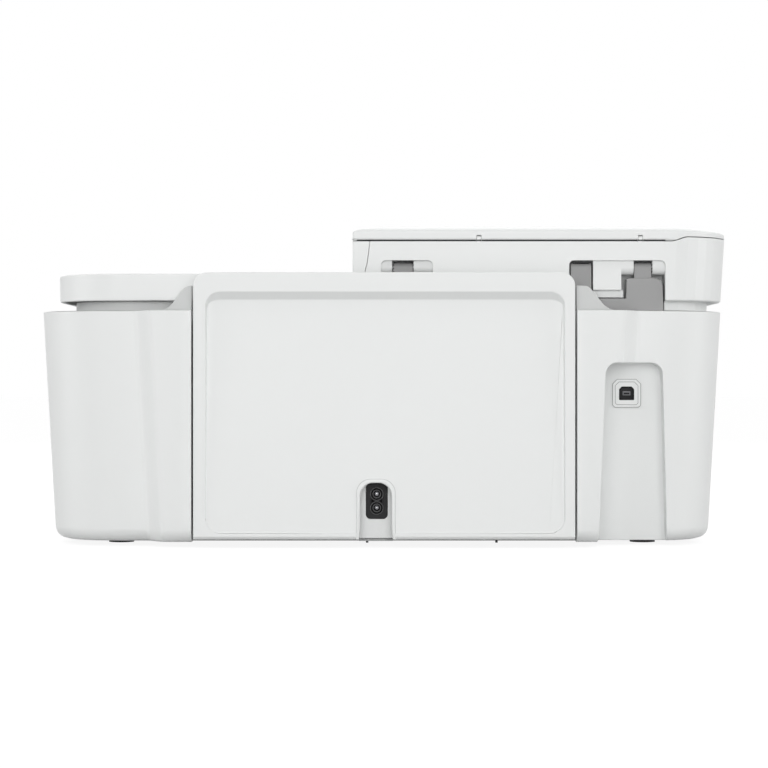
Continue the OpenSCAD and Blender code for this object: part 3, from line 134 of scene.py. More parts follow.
class PrinterStudio(bpy.types.PropertyGroup):
    """Camera and light."""
    lens: FloatProperty(name="Lens", description="Focal length on a 36 mm sensor", default=103.55,
                        unit="CAMERA")
    distance: length("Camera Y", "Camera's place behind the printer", 1.516)
    height: length("Camera Z", "Camera height", 0.1004)
    shift: FloatProperty(name="Camera X", description="Camera's sideways place", default=-0.0013,
                         unit="LENGTH")
    world: FloatProperty(name="World", description="Strength of the surrounding light", default=0.46)
    key_power: FloatProperty(name="Key light", description="Power of the large light", default=17.2,
                             unit="POWER")
    front: share("Front light", "Share of the key light in the front light", 0.5)
    overhead: share("Top light", "Share of the key light in the top light", 0.19)
    strips: share("Side lights", "Share of the key light in each side light", 0.42)


def finish():
    return bpy.context.scene.printer_finish


def sizes():
    return bpy.context.scene.printer_sizes


# ---------------------------------------------------------------- shader maths
class Val:
    """A socket that takes part in Python expressions and adds its Math nodes."""

    def __init__(self, graph, socket):
        self.graph, self.socket = graph, socket

    def _op(self, kind, *terms):
        return self.graph.node("Math", {"operation": kind}, dict(enumerate(terms)))

    def __add__(self, other):
        return self._op("ADD", self, other)

    def __radd__(self, other):
        return self._op("ADD", other, self)

    def __sub__(self, other):
        return self._op("SUBTRACT", self, other)

    def __rsub__(self, other):
        return self._op("SUBTRACT", other, self)

    def __mul__(self, other):
        return self._op("MULTIPLY", self, other)

    def __rmul__(self, other):
        return self._op("MULTIPLY", other, self)

    def above(self, other):
        return self._op("GREATER_THAN", self, other)

    def below(self, other):
        return self._op("LESS_THAN", self, other)

    def smallest(self, other):
        return self._op("MINIMUM", self, other)

    def largest(self, other):
        return self._op("MAXIMUM", self, other)

    def size(self):
        return self._op("ABSOLUTE", self)

    def wrapped(self):
        return self._op("FRACT", self)


OBJECT_COORDS = 3


class Graph:
    """Node tree of one material or of the world."""

    def __init__(self, name="", world=None):
        self.mat = world or bpy.data.materials.new(name)
        self.mat.use_nodes = True
        self.tree = self.mat.node_tree
        self.tree.nodes.clear()

    def feed(self, socket, value):
        """Links a value of the graph to a socket, or sets a plain one on it."""
        if isinstance(value, Val):
            self.tree.links.new(value.socket, socket)
        else:
            socket.default_value = value

    def node(self, kind, settings=None, places=None, out=0, **inputs):
        """Adds a node with its settings, then fills its sockets by their places and by their names."""
        made = self.tree.nodes.new("ShaderNode" + kind)
        for key, value in (settings or {}).items():
            setattr(made, key, value)
        for place, value in (places or {}).items():
            self.feed(made.inputs[place], value)
        for key, value in inputs.items():
            self.feed(made.inputs[key.replace("_", " ")], value)
        return Val(self, made.outputs[out]) if made.outputs else None

    def place(self, scale=(1, 1, 1)):
        """Object coordinates, stretched along the axes."""
        return self.node("Mapping", Vector=self.node("TexCoord", out=OBJECT_COORDS), Scale=scale)

    def split(self, vector):
        """The three parts of a vector."""
        parts = self.node("SeparateXYZ", places={0: vector}).socket.node
        return [Val(self, socket) for socket in parts.outputs]

    def noise(self, scale, detail=2.0, vector=None):
        return self.node("TexNoise", Vector=vector or self.place(), Scale=scale, Detail=detail)

    def tint(self, base, other, factor):
        """Mix of two colours, each a plain one or one of the graph."""
        ends = [tone if isinstance(tone, Val) else (*tone, 1) for tone in (base, other)]
        return self.node("Mix", {"data_type": "RGBA"}, {0: factor, 6: ends[0], 7: ends[1]}, out=2)

    def bump(self, height, strength, distance):
        return self.node("Bump", Height=height, Strength=strength, Distance=distance)

    def surface(self, **inputs):
        """Ends the tree in a surface shader."""
        self.node("OutputMaterial", Surface=self.node("BsdfPrincipled", **inputs))
        return self.mat


def shade(tone, factor):
    """A colour made lighter or darker."""
    return tuple(min(1.0, part * factor) for part in tone)


# ---------------------------------------------------------------- finishes
def moulded(name, col, rough=0.42, grain=1.0, specular=0.5):
    """Injection moulded plastic with fine spark-eroded grain and faint flow marks."""
    g = Graph(name)
    flow = g.noise(9.0, 3.0)
    fine = g.noise(1900.0, 2.0)
    base = g.tint(shade(col, 0.975), shade(col, 1.02), flow)
    base = g.tint(base, shade(col, 0.93), (fine - 0.62).largest(0.0) * 1.2)
    return g.surface(Base_Color=base, Roughness=rough + (flow - 0.5) * 0.05 + (fine - 0.5) * 0.1,
                     Specular_IOR_Level=specular, Normal=g.bump(fine, finish().grain * grain * 4, 0.00012))


def glossy(name, col, rough=0.09):
    """Polished plastic with hair-fine wiping marks."""
    g = Graph(name)
    wipe = g.noise(60.0, 4.0, g.place((1, 14, 1)))
    dust = g.noise(900.0, 1.0)
    return g.surface(Base_Color=g.tint(col, shade(col, 2.4), (dust - 0.66).largest(0.0) * 1.6),
                     Roughness=rough + (wipe - 0.5).size() * 0.12, Coat_Weight=0.6,
                     Normal=g.bump(wipe, 0.03, 0.0002))


def plated(name, col, rough=0.34):
    """Plated or ground metal with drawing lines and faint spangle."""
    g = Graph(name)
    lines = g.noise(40.0, 3.0, g.place((1, 60, 60)))
    cells = g.node("TexVoronoi", Vector=g.place(), Scale=180.0)
    return g.surface(Base_Color=g.tint(shade(col, 0.86), shade(col, 1.08), lines * 0.7 + cells * 0.3),
                     Metallic=1.0, Roughness=rough + (lines - 0.5) * 0.22 + cells * 0.06,
                     Normal=g.bump(lines, 0.12, 0.0001))


def rubbery(name, col):
    """Matt rubber with powdery bloom."""
    g = Graph(name)
    fine = g.noise(1500.0, 3.0)
    bloom = g.noise(45.0, 4.0)
    return g.surface(Base_Color=g.tint(col, shade(col, 2.2), (bloom - 0.5).largest(0.0) * 0.9),
                     Roughness=0.72 + (bloom - 0.5) * 0.2, Normal=g.bump(fine, 0.35, 0.0002))


def foamy(name, col):
    """Closed-cell foam faced with a fine white film."""
    g = Graph(name)
    cells = g.node("TexVoronoi", Vector=g.place(), Scale=700.0)
    soft = g.noise(30.0, 3.0)
    return g.surface(Base_Color=g.tint(shade(col, 0.96), shade(col, 1.03), soft),
                     Roughness=0.8 - cells * 0.1, Normal=g.bump(cells, 0.25, 0.0003))


def flat_glass(name, col):
    """Clear float glass with faint smears."""
    g = Graph(name)
    smear = g.noise(14.0, 5.0, g.place((1, 3, 1)))
    return g.surface(Base_Color=(*col, 1), Roughness=0.02 + (smear - 0.55).largest(0.0) * 0.25,
                     Transmission_Weight=0.92, IOR=1.5)


def circuit(name, col):
    """Lacquered board with copper traces and pads under the lacquer."""
    g = Graph(name)
    x, y = g.split(g.place())[:2]
    wander = g.noise(30.0, 1.0)
    lanes = ((x * 620.0 + wander * 3.0).wrapped() - 0.5).size().below(0.22)
    rows = ((y * 540.0 + wander * 2.0).wrapped() - 0.5).size().below(0.16)
    blocks = g.noise(48.0, 0.0).above(0.52)
    mask = (lanes * blocks + rows * (1.0 - blocks)).smallest(1.0)
    return g.surface(Base_Color=g.tint(col, (0.10, 0.34, 0.10), mask * 0.8), Roughness=0.3 - mask * 0.08,
                     Coat_Weight=0.5, Normal=g.bump(mask, 0.2, 0.0001))


def acetal(name, col):
    """Natural gear plastic, slightly waxy, with grease darkening."""
    g = Graph(name)
    grease = g.noise(70.0, 3.0)
    fine = g.noise(1200.0, 1.0)
    return g.surface(Base_Color=g.tint(col, shade(col, 0.72), (grease - 0.5).largest(0.0) * 1.4),
                     Roughness=0.36 - (grease - 0.5) * 0.3, Normal=g.bump(fine, 0.08, 0.0001))


MATERIALS = {}


def build_materials():
    """Makes every finish, named after the slot or the small piece that takes it."""
    def tone(name):
        return tuple(getattr(finish(), name))

    MATERIALS.update(
        casing=moulded("casing moulding", tone("casing")),
        grey_trim=moulded("grey trim moulding", tone("trim"), 0.5),
        hinge_grey=moulded("hinge moulding", tone("hinge"), 0.48),
        dark_plastic=moulded("dark moulding", tone("dark"), 0.44, 1.6),
        black_gloss=glossy("black gloss", tone("gloss_black")),
        steel=plated("plated steel", tone("steel")),
        contact_metal=plated("contact metal", tone("brass"), 0.25),
        roller_rubber=rubbery("rubber", tone("rubber")),
        foam=foamy("foam", tone("foam")),
        flat_glass=flat_glass("float glass", tone("glass")),
        board_green=circuit("board lacquer", tone("board")),
        gear_white=acetal("acetal", tone("acetal")),
        ink_black=moulded("black cartridge", tone("ink_shell"), 0.35),
        ink_color=moulded("colour cartridge", tone("ink_blue"), 0.35),
        key_grey=moulded("grey key", tone("key"), 0.3, 0.4),
        key_red=moulded("red key", tone("stop_key"), 0.3, 0.4),
        key_green=moulded("green key", tone("start_key"), 0.3, 0.4),
        # Black of the inlet, also painted as shade in the port's mouth, round its rim and in the tongue's
        # groove
        socket_black=moulded("socket black", tone("socket"), 0.5, 1.0, specular=0.2),
        socket_rim=moulded("socket rim black", tone("socket_rim"), 0.42, 0.6, specular=0.3),
        # Steel darkened as painted shade for the pins deep in the inlet
        pin_steel=plated("pin steel", tone("pin"), 0.45),
        tongue=moulded("port tongue", tone("tongue"), 0.5, 0.6),
        lens=glossy("lamp lens", tone("lamp"), 0.15),
        label=moulded("plain label", tone("label"), 0.55, 0.2),
        icon=moulded("icon white", tone("icon"), 0.5, 0.2),
        level=moulded("display level", tone("level"), 0.3, 0.2),
        cyan=moulded("cyan mark", tone("cyan"), 0.5, 0.2),
        magenta=moulded("magenta mark", tone("magenta"), 0.5, 0.2),
        yellow=moulded("yellow mark", tone("yellow"), 0.5, 0.2),
    )


# ---------------------------------------------------------------- modelling helpers
AXIS_TURN = {"Z": (0, 0, 0), "Y": (-math.pi / 2, 0, 0)}
SMOOTH_ANGLE = 35


def clear_selection():
    if bpy.context.mode != "OBJECT":
        bpy.ops.object.mode_set(mode="OBJECT")
    bpy.ops.object.select_all(action="DESELECT")


def only(obj):
    clear_selection()
    obj.select_set(True)
    bpy.context.view_layer.objects.active = obj


def apply_all(obj):
    """Applies place and modifiers so that the mesh holds the place."""
    only(obj)
    bpy.ops.object.transform_apply(location=True, rotation=True, scale=True)
    for modifier in list(obj.modifiers):
        bpy.ops.object.modifier_apply(modifier=modifier.name)


def smooth(obj):
    only(obj)
    bpy.ops.object.shade_smooth_by_angle(angle=math.radians(SMOOTH_ANGLE))


def outward(obj):
    """Welds a piece, closes it and turns its faces outwards."""
    only(obj)
    bpy.ops.object.mode_set(mode="EDIT")
    bpy.ops.mesh.select_all(action="SELECT")
    bpy.ops.mesh.remove_doubles(threshold=0.000002)
    bpy.ops.mesh.fill_holes(sides=0)
    bpy.ops.mesh.normals_make_consistent(inside=False)
    bpy.ops.object.mode_set(mode="OBJECT")


def bevel(obj, width, segments=2, angle=30):
    edge = obj.modifiers.new("edge", "BEVEL")
    edge.width = width
    edge.segments = segments
    edge.limit_method = "ANGLE"
    edge.angle_limit = math.radians(angle)
    return edge


def finished(obj, name, edge, spot=None):
    """Rounds a new primitive, brings it to its spot and leaves its place in the mesh."""
    obj.name = name
    only(obj)
    bpy.ops.object.transform_apply(location=True, rotation=True, scale=True)
    if edge:
        bevel(obj, edge * MM)
    apply_all(obj)
    if spot:
        obj.matrix_world = spot
        apply_all(obj)
    smooth(obj)
    return obj


def block(name, lo, hi, edge=0.3, spot=None):
    """Rounded block between two corners given in mm."""
    clear_selection()
    bpy.ops.mesh.primitive_cube_add(size=1, location=[(a + b) / 2 * MM for a, b in zip(lo, hi)])
    obj = bpy.context.object
    obj.scale = [(b - a) * MM for a, b in zip(lo, hi)]
    return finished(obj, name, edge, spot)


def disc(name, at, radius, depth, axis="Z", sides=48, edge=0.2, spot=None):
    """Rounded disc centred at a point in mm."""
    clear_selection()
    bpy.ops.mesh.primitive_cylinder_add(vertices=sides, radius=radius * MM, depth=depth * MM,
                                        location=[v * MM for v in at], rotation=AXIS_TURN[axis])
    return finished(bpy.context.object, name, edge, spot)


def tube(name, at, outer, inner, depth, axis="Z", sides=48, edge=0.1, spot=None):
    """Open ring with a wall, centred at a point in mm."""
    clear_selection()
    bpy.ops.mesh.primitive_cylinder_add(vertices=sides, radius=outer * MM, depth=depth * MM,
                                        end_fill_type="NOTHING", location=[v * MM for v in at],
                                        rotation=AXIS_TURN[axis])
    obj = bpy.context.object
    wall = obj.modifiers.new("wall", "SOLIDIFY")
    wall.thickness = (outer - inner) * MM
    wall.offset = -1
    bpy.ops.object.modifier_apply(modifier=wall.name)
    return finished(obj, name, edge, spot)


def prism(name, outline, depth, edge=0.1, spot=None):
    """Solid with an outline in mm that stands up along the spot's Z."""
    clear_selection()
    bpy.ops.mesh.primitive_circle_add(vertices=len(outline), radius=MM, fill_type="NGON")
    obj = bpy.context.object
    for v, (x, y) in zip(obj.data.vertices, outline):
        v.co = (x * MM, y * MM, 0)
    bpy.ops.object.mode_set(mode="EDIT")
    bpy.ops.mesh.select_all(action="SELECT")
    bpy.ops.mesh.extrude_region_move(TRANSFORM_OT_translate={"value": (0, 0, depth * MM)})
    bpy.ops.object.mode_set(mode="OBJECT")
    outward(obj)
    return finished(obj, name, edge, spot)


def array(obj, count, step):
    """Repeats a piece at a step in mm."""
    row = obj.modifiers.new("row", "ARRAY")
    row.use_relative_offset = False
    row.use_constant_offset = True
    row.constant_offset_displace = [v * MM for v in step]
    row.count = count
    apply_all(obj)
    return obj


def copy_at(obj, spot):
    """Copy of a piece, with its own mesh, brought to a spot."""
    twin = obj.copy()
    twin.data = obj.data.copy()
    bpy.context.collection.objects.link(twin)
    twin.matrix_world = spot
    apply_all(twin)
    return twin


def joined(name, objs):
    """Makes several pieces one, under a name."""
    only(objs[0])
    for obj in objs:
        obj.select_set(True)
    if len(objs) > 1:
        bpy.ops.object.join()
    objs[0].name = name
    return objs[0]


def fit(piece, node, slot, material=None):
    """Paints a piece and lets it ride with the node that carries it."""
    piece.data.materials.clear()
    piece.data.materials.append(MATERIALS[material or slot])
    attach(piece, BODY_OF[node])


def on_surface(node, at, axis):
    """Depth in mm of a node's surface along an axis, found from a point in front of it."""
    look = turned((0, 0, 0), axis).to_3x3() @ Vector((0, 0, 1))
    hit, spot = NODES[node].ray_cast(Vector(at) * MM, -look)[:2]
    if not hit:
        raise RuntimeError(f"{node} has no surface behind {at}")
    return spot["XYZ".index(axis[-1])] / MM


def rear_spot(x, y, z):
    """Spot on the back in mm: its Z looks to the rear, its Y up."""
    return Matrix(((-1, 0, 0, x * MM), (0, 0, 1, y * MM), (0, 1, 0, z * MM), (0, 0, 0, 1)))


def mm_box(node):
    """Corners of a node in mm."""
    lo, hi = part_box(node)
    return [v / MM for v in lo], [v / MM for v in hi]


def turned(at, axis="Z", angle=0.0):
    """Spot in mm whose Z looks along an axis, such as -Y, with a twist about it."""
    sign = -1 if axis[0] == "-" else 1
    look = Vector([sign if axis[-1] == a else 0 for a in "XYZ"])
    return (Matrix.Translation([v * MM for v in at]) @ look.to_track_quat("Z", "Y").to_matrix().to_4x4()
            @ Matrix.Rotation(math.radians(angle), 4, "Z"))


# ---------------------------------------------------------------- carried-over solids
# Share of the casing edge that each case solid is rounded by
ROUNDED = {
    "left_side_cover": 1.0, "right_side_cover": 1.0, "front_cover": 1.0, "tray_panel": 1.0,
    "top_frame": 0.8, "scanner_bezel": 0.8, "lid": 0.7, "deck_cover": 0.6, "port_bezel": 0.6,
    "hinge_posts": 0.6, "control_bezel": 0.6, "inlet_socket": 0.4,
}
NODE_FINISH = {"inlet_socket": "socket_black", "inlet_pins": "pin_steel"}
WELD = 0.00001


def node_slot(name):
    """The material slot that the record gives to a node."""
    for entry in frame["record"]["subparts"]:
        if name in (entry.get("name"), entry.get("node")):
            return entry.get("material_slot") or entry.get("material")
    raise RuntimeError(f"no material slot for {name}")


def dress_solids():
    """Puts a finish on every solid and softens the edges of the visible case."""
    for name, obj in NODES.items():
        material = MATERIALS[NODE_FINISH.get(name) or node_slot(name)]
        if not obj.material_slots:
            obj.data.materials.append(material)
        for slot in obj.material_slots:
            slot.material = material
        if name in ROUNDED:
            obj.modifiers.new("weld", "WELD").merge_threshold = WELD
            edge = bevel(obj, ROUNDED[name] * sizes().edge, segments=3, angle=25)
            edge.use_clamp_overlap = False
            obj.modifiers.new("normals", "WEIGHTED_NORMAL").keep_sharp = False


# ---------------------------------------------------------------- screws
# Shares of a head's diameter: its height and rounding, and the cross recess in it
HEAD_HEIGHT = 0.28
HEAD_EDGE = 0.1
RECESS_REACH = 0.3
RECESS_WIDTH = 0.11
RECESS_FLOOR = 0.12
TWIST = 17
PAN_SEAT = 1.5
RIM_TOP = 145.8


def screw_head(name, diameter):
    """Pan head with a cross recess, its seat at the origin and its top along Z."""
    height = diameter * HEAD_HEIGHT
    head = disc(name, (0, 0, height / 2), diameter / 2, height, sides=28, edge=diameter * HEAD_EDGE)
    reach, half_width = diameter * RECESS_REACH, diameter * RECESS_WIDTH / 2
    for angle in (0, 90):
        slot = block("recess", (-reach, -half_width, diameter * RECESS_FLOOR),
                     (reach, half_width, diameter), 0, turned((0, 0, 0), "Z", angle))
        cut = head.modifiers.new("recess", "BOOLEAN")
        cut.operation = "DIFFERENCE"
        cut.object = slot
        only(head)
        bpy.ops.object.modifier_apply(modifier=cut.name)
        bpy.data.objects.remove(slot)
    smooth(head)
    return head


def screws(name, node, places, diameter, axis="Z"):
    """Screws in one node, at places in mm, each turned further than the one before it."""
    first = screw_head("screw", diameter / MM)
    heads = [copy_at(first, turned(place, axis, TWIST * i)) for i, place in enumerate(places)]
    bpy.data.objects.remove(first)
    fit(joined(name, heads), node, "steel")


def build_screws():
    seat = mm_box("bottom_pan")[0][2] + PAN_SEAT
    pan = [(x, y, seat) for x in (-140, 0, 140) for y in (-118, 64)]
    screws("pan_screws", "bottom_pan", pan, sizes().pan_screw, "-Z")
    rim = [(-190, 110), (-190, -96), (-100, 119), (-8, 119), (-100, -118), (-8, -118)]
    screws("frame_screws", "top_frame", [(x, y, RIM_TOP) for x, y in rim], sizes().screw)


# ---------------------------------------------------------------- rear sockets
# Outer radius, inner radius and depth of the rings round each pin
COLLAR = (4.2, 3.6, 0.7)
SLEEVE = (2.7, 2.0, 0.8)
SLEEVE_SUNK = 0.3
# Radius and depth of the pins' rounded tips
TIP = (0.5, 0.5)

# Notch in the tray panel: its middle, half width, top, corner radius, the height at which its
# sides begin to flare, its foot, and how far the flare would reach over a height
NOTCH_X = 3.65
NOTCH_HALF = 11.6
NOTCH_TOP = 42.0
NOTCH_CORNER = 8.5
NOTCH_LOW = 12.0
NOTCH_FOOT = 5.3
NOTCH_FLARE = 1.6 / 17
CORNER_STEPS = 10
# Piece, inner and outer growth from the notch's edge, height and finish of its three bands; the two grey
# bands are painted shade beside the welt
NOTCH_BANDS = (
    ("notch_welt", -1.6, 0.05, 1.7, "casing"),
    ("notch_groove", 0.05, 0.4, 1.66, "grey_trim"),
    ("notch_edge", -1.95, -1.6, 1.5, "grey_trim"),
)
NOTCH_SUNK = 1.6
# Lower and upper corner of the sill that closes the notch under the inlet
SILL = ((-6.8, 149.9, 3.4), (14.1, 150.9, 5.0))


def build_inlet():
    """Rings round the pins, lightened as a painted highlight, and the pins' tips."""
    face = mm_box("inlet_socket")[1][1]
    pin_lo, pin_hi = mm_box("inlet_pins")
    radius = (pin_hi[0] - pin_lo[0]) / 2
    middle = (pin_lo[0] + pin_hi[0]) / 2
    centres = (pin_lo[2] + radius, pin_hi[2] - radius)
    # The rings take a lighter black that paints their highlight
    collars = [tube("collar", (middle, face, z), *COLLAR, "Y", edge=0.15) for z in centres]
    fit(joined("inlet_collars", collars), "inlet_socket", "black_gloss", "socket_rim")
    sleeves = [tube("sleeve", (middle, face - SLEEVE_SUNK, z), *SLEEVE, "Y", edge=0.2) for z in centres]
    fit(joined("pin_sleeves", sleeves), "inlet_socket", "black_gloss", "socket_rim")
    tips = [disc("tip", (middle, pin_hi[1], z), *TIP, "Y", 24, 0.15) for z in centres]
    fit(joined("inlet_pin_tips", tips), "inlet_pins", "steel")


def notch_line(grown):
    """Edge of the notch, grown outwards and drawn from foot to foot."""
    side = NOTCH_HALF + grown
    foot = side + NOTCH_FLARE * (NOTCH_LOW - NOTCH_FOOT)
    points = [(foot, NOTCH_FOOT), (side, NOTCH_LOW)]
    for x, start in ((side - NOTCH_CORNER, 0), (NOTCH_CORNER - side, 90)):
        for i in range(CORNER_STEPS + 1):
            angle = math.radians(start + 90 * i / CORNER_STEPS)
            points.append((x + NOTCH_CORNER * math.cos(angle),
                           NOTCH_TOP + grown + NOTCH_CORNER * (math.sin(angle) - 1)))
    return points + [(-side, NOTCH_LOW), (-foot, NOTCH_FOOT)]


def build_notch():
    """Welt round the notch, grey bands painted as shade in its groove and at its edge, and the sill under the
    inlet.
    """
    back = on_surface("tray_panel", (NOTCH_X - NOTCH_HALF - 4, 300, NOTCH_LOW), "Y")
    spot = rear_spot(NOTCH_X, back - NOTCH_SUNK, 0)
    for name, inner, outer, height, material in NOTCH_BANDS:
        band = prism(name, notch_line(outer) + notch_line(inner)[::-1], height, 0.05, spot)
        fit(band, "tray_panel", "casing", material)
    fit(block("notch_sill", *SILL, 0.15), "rear_inner_cover", "casing", "grey_trim")


PORT_MOUTH = [(-4.45, -4.0), (4.45, -4.0), (4.45, 2.4), (3.0, 4.0), (-3.0, 4.0), (-4.45, 2.4)]
# Piece, half width, cut of the upper corners and cut of the lower ones of the grey frame lines painted as
# shade along the bezel's edges
PORT_SHADE_LINES = (("port_frame_outer", 8.75, 2.9, 1.4), ("port_frame_inner", 7.1, 2.3, 1.0))
PORT_SHADE_LINE_WIDTH = 0.32
# How deep the mouth's floor lies, and the thickness of the black block that fills it as painted shade
MOUTH_DEEP = 6
MOUTH_DEPTH = 4.9
# Corners of the tongue and of the black block on it that paints the shade of its groove, seen from the rear
TONGUE = ((-2.4, -1.3, -1.8), (2.4, 1.3, -0.3))
TONGUE_GROOVE_SHADE = ((-1.8, -0.7, -1.0), (1.8, 0.5, -0.24))


def cut_square(half, cut, low):
    """Square with its corners cut off, the upper ones by cut and the lower ones by low."""
    return [(-half + low, -half), (half - low, -half), (half, -half + low), (half, half - cut),
            (half - cut, half), (-half + cut, half), (-half, half - cut), (-half, -half + low)]


def build_data_port():
    """Black blocks painted as shade in the mouth, round its rim and in the tongue's groove, the tongue, and
    grey frame lines painted as shade along the bezel's edges.
    """
    lo, hi = mm_box("port_bezel")
    x, face, z = (lo[0] + hi[0]) / 2, hi[1], (lo[2] + hi[2]) / 2
    spot = rear_spot(x, face, z)
    mouth_shade = prism("port_mouth", PORT_MOUTH, MOUTH_DEPTH, 0.1, rear_spot(x, face - MOUTH_DEEP, z))
    fit(mouth_shade, "data_port", "black_gloss", "socket_black")
    fit(joined("port_rim", outline_bars(spot, PORT_MOUTH, 0.5)), "port_bezel", "casing", "socket_black")
    fit(block("port_tongue", *TONGUE, 0.2, spot), "data_port", "steel", "tongue")
    groove_shade = block("port_tongue_groove", *TONGUE_GROOVE_SHADE, 0.1, spot)
    fit(groove_shade, "data_port", "black_gloss", "socket_black")
    # Grey lines painted as the shade along the bezel's edges
    for name, half, cut, low in PORT_SHADE_LINES:
        line = joined(name, outline_bars(spot, cut_square(half, cut, low), PORT_SHADE_LINE_WIDTH))
        fit(line, "port_bezel", "casing", "hinge_grey")


# ---------------------------------------------------------------- control panel
# Height of a printed mark, and how far its foot is sunk
MARK = 0.12
MARK_SUNK = 0.05
STROKE = 0.7
ARC_STEPS = 14


def panel_spot(node, lift=0.0):
    """Spot at the middle of a panel piece's top face, Z out of the panel."""
    faces = [face for face in NODES["display_window"].data.polygons if face.normal.z > 0.5]
    up = max(faces, key=lambda face: face.area).normal.normalized()
    side = Vector((1, 0, 0))
    along = up.cross(side)
    points = [v.co for v in NODES[node].data.vertices]
    top = max(p.dot(up) for p in points)
    level = [p for p in points if p.dot(up) > top - WELD]
    mid = [(min(p.dot(a) for p in level) + max(p.dot(a) for p in level)) / 2 for a in (side, along)]
    at = side * mid[0] + along * mid[1] + up * (top + lift * MM)
    return Matrix(((side.x, along.x, up.x, at.x), (side.y, along.y, up.y, at.y),
                   (side.z, along.z, up.z, at.z), (0, 0, 0, 1)))


def bar(spot, x0, y0, x1, y1, width=STROKE, height=MARK):
    """Flat stroke between two points of a mark."""
    half = math.hypot(x1 - x0, y1 - y0) / 2
    angle = math.atan2(y1 - y0, x1 - x0)
    middle = Matrix.Translation(((x0 + x1) / 2 * MM, (y0 + y1) / 2 * MM, 0))
    return block("stroke", (-half, -width / 2, -MARK_SUNK), (half, width / 2, height), 0.04,
                 spot @ middle @ Matrix.Rotation(angle, 4, "Z"))


def outline_bars(spot, outline, width):
    """Strokes along a closed outline."""
    return [bar(spot, *a, *b, width) for a, b in zip(outline, outline[1:] + outline[:1])]


def power_mark(spot):
    """Upright stroke in an open ring."""
    radius, start, sweep = 2.3, 125, 290
    turns = [math.radians(start + sweep * i / ARC_STEPS) for i in range(ARC_STEPS + 1)]
    ring = [(radius * math.cos(turn), radius * math.sin(turn)) for turn in turns]
    return [bar(spot, 0, 0.6, 0, 3.0)] + [bar(spot, *a, *b) for a, b in zip(ring, ring[1:])]


KEY_MARKS = {
    "button_menu": lambda s: [bar(s, -2.4, y, 2.4, y, 0.6) for y in (-1.5, 0, 1.5)],
    "button_ok": lambda s: [bar(s, -2.0, -0.1, -0.6, -1.5), bar(s, -0.7, -1.4, 2.2, 1.6)],
    "button_plus": lambda s: [bar(s, -1.8, 0, 1.8, 0), bar(s, 0, -1.8, 0, 1.8)],
    "button_minus": lambda s: [bar(s, -1.8, 0, 1.8, 0)],
    "button_power": power_mark,
    "button_stop": lambda s: [bar(s, -1.8, -1.8, 1.8, 1.8, 0.9), bar(s, -1.8, 1.8, 1.8, -1.8, 0.9)],
    "button_start": lambda s: [prism("arrow", [(-1.6, -2.3), (2.5, 0), (-1.6, 2.3)], MARK, 0.03, s)],
}
ROUND_KEY = 15
# How far a round key's ring keeps from its edge, and the ring's wall and depth
RING_INSET = 1.5
RING_WALL = 0.35
RING_DEPTH = 0.16

SCREEN_LIFT = 0.02
SCREEN_MARK = 0.08
# Left end, right end and height of the display's lines of text, as plain strokes
TEXT_LINES = ((-26, -4, 11.5), (-26, -12, 8.2), (-26, 2, 1), (-26, -6, -4), (-26, -1, -9), (12, 26, -12))
LEVELS = (3, 1.6, 2.4, 2)
LAMP = [(-1.1, -0.5), (1.1, -0.5), (1.1, 0.5), (-1.1, 0.5)]
LAMP_ABOVE_KEY = 11


def build_panel():
    """Signs on the keys, rings on the round ones, the display's content and the lamps."""
    for node, draw in KEY_MARKS.items():
        fit(joined(node + "_mark", draw(panel_spot(node))), node, "casing", "icon")
        lo, hi = mm_box(node)
        if hi[0] - lo[0] < ROUND_KEY:
            radius = (hi[0] - lo[0]) / 2 - RING_INSET
            ring = tube(node + "_ring", (0, 0, SCREEN_LIFT), radius, radius - RING_WALL, RING_DEPTH,
                        edge=0.05, spot=panel_spot(node))
            fit(ring, node, "steel")
    screen = panel_spot("display_window", SCREEN_LIFT)
    lines = [bar(screen, x0, y, x1, y, 1.1, SCREEN_MARK) for x0, x1, y in TEXT_LINES]
    fit(joined("display_text", lines), "display_window", "casing", "icon")
    levels = [block("level", (12 + 4 * i, -6, -MARK_SUNK), (14.6 + 4 * i, -3 + 3 * level, SCREEN_MARK), 0.04,
                    screen) for i, level in enumerate(LEVELS)]
    fit(joined("display_levels", levels), "display_window", "ink_color", "level")
    above = Matrix.Translation((0, LAMP_ABOVE_KEY * MM, 0))
    lamps = [prism("lamp", LAMP, 0.3, 0.12, panel_spot(node) @ above)
             for node in ("button_power", "button_stop", "button_start")]
    fit(joined("status_lamps", lamps), "control_bezel", "key_green", "lens")


# ---------------------------------------------------------------- seams of the case
LUGS = (-160, -60)
# Left and right end of each stretch of the dark strip painted as shade in the lid's seam, which stops short
# of the lugs
SEAM_SHADE_RUNS = ((-175.5, -161.9), (-158.1, -61.9), (-58.1, 15.5))
SEAM_SHADE_LEAN = 45
# How far the middle of the painted seam shade lies in front of the lid's rear and over its lower edge
SEAM_SHADE_IN = 0.88
SEAM_SHADE_UP = 0.24
# Left and right side of the necks of the hinge posts
POST_NECKS = ((-130.2, -117.3), (-167.6, -156.0), (-19.6, -7.3))
# Front and rear of the dark strip painted as shade along the tops of the posts' necks
POST_SHADE_Y = (137.4, 140.6)
# Front and rear, heights, and half width and half height of the small dark blocks painted as shade in the
# slots beside the necks
SLOT_SHADE_Y = (144.4, 145.05)
SLOT_SHADE_HEIGHTS = (174.2, 172.1, 170.0)
SLOT_SHADE_HALF = (0.3, 0.5)


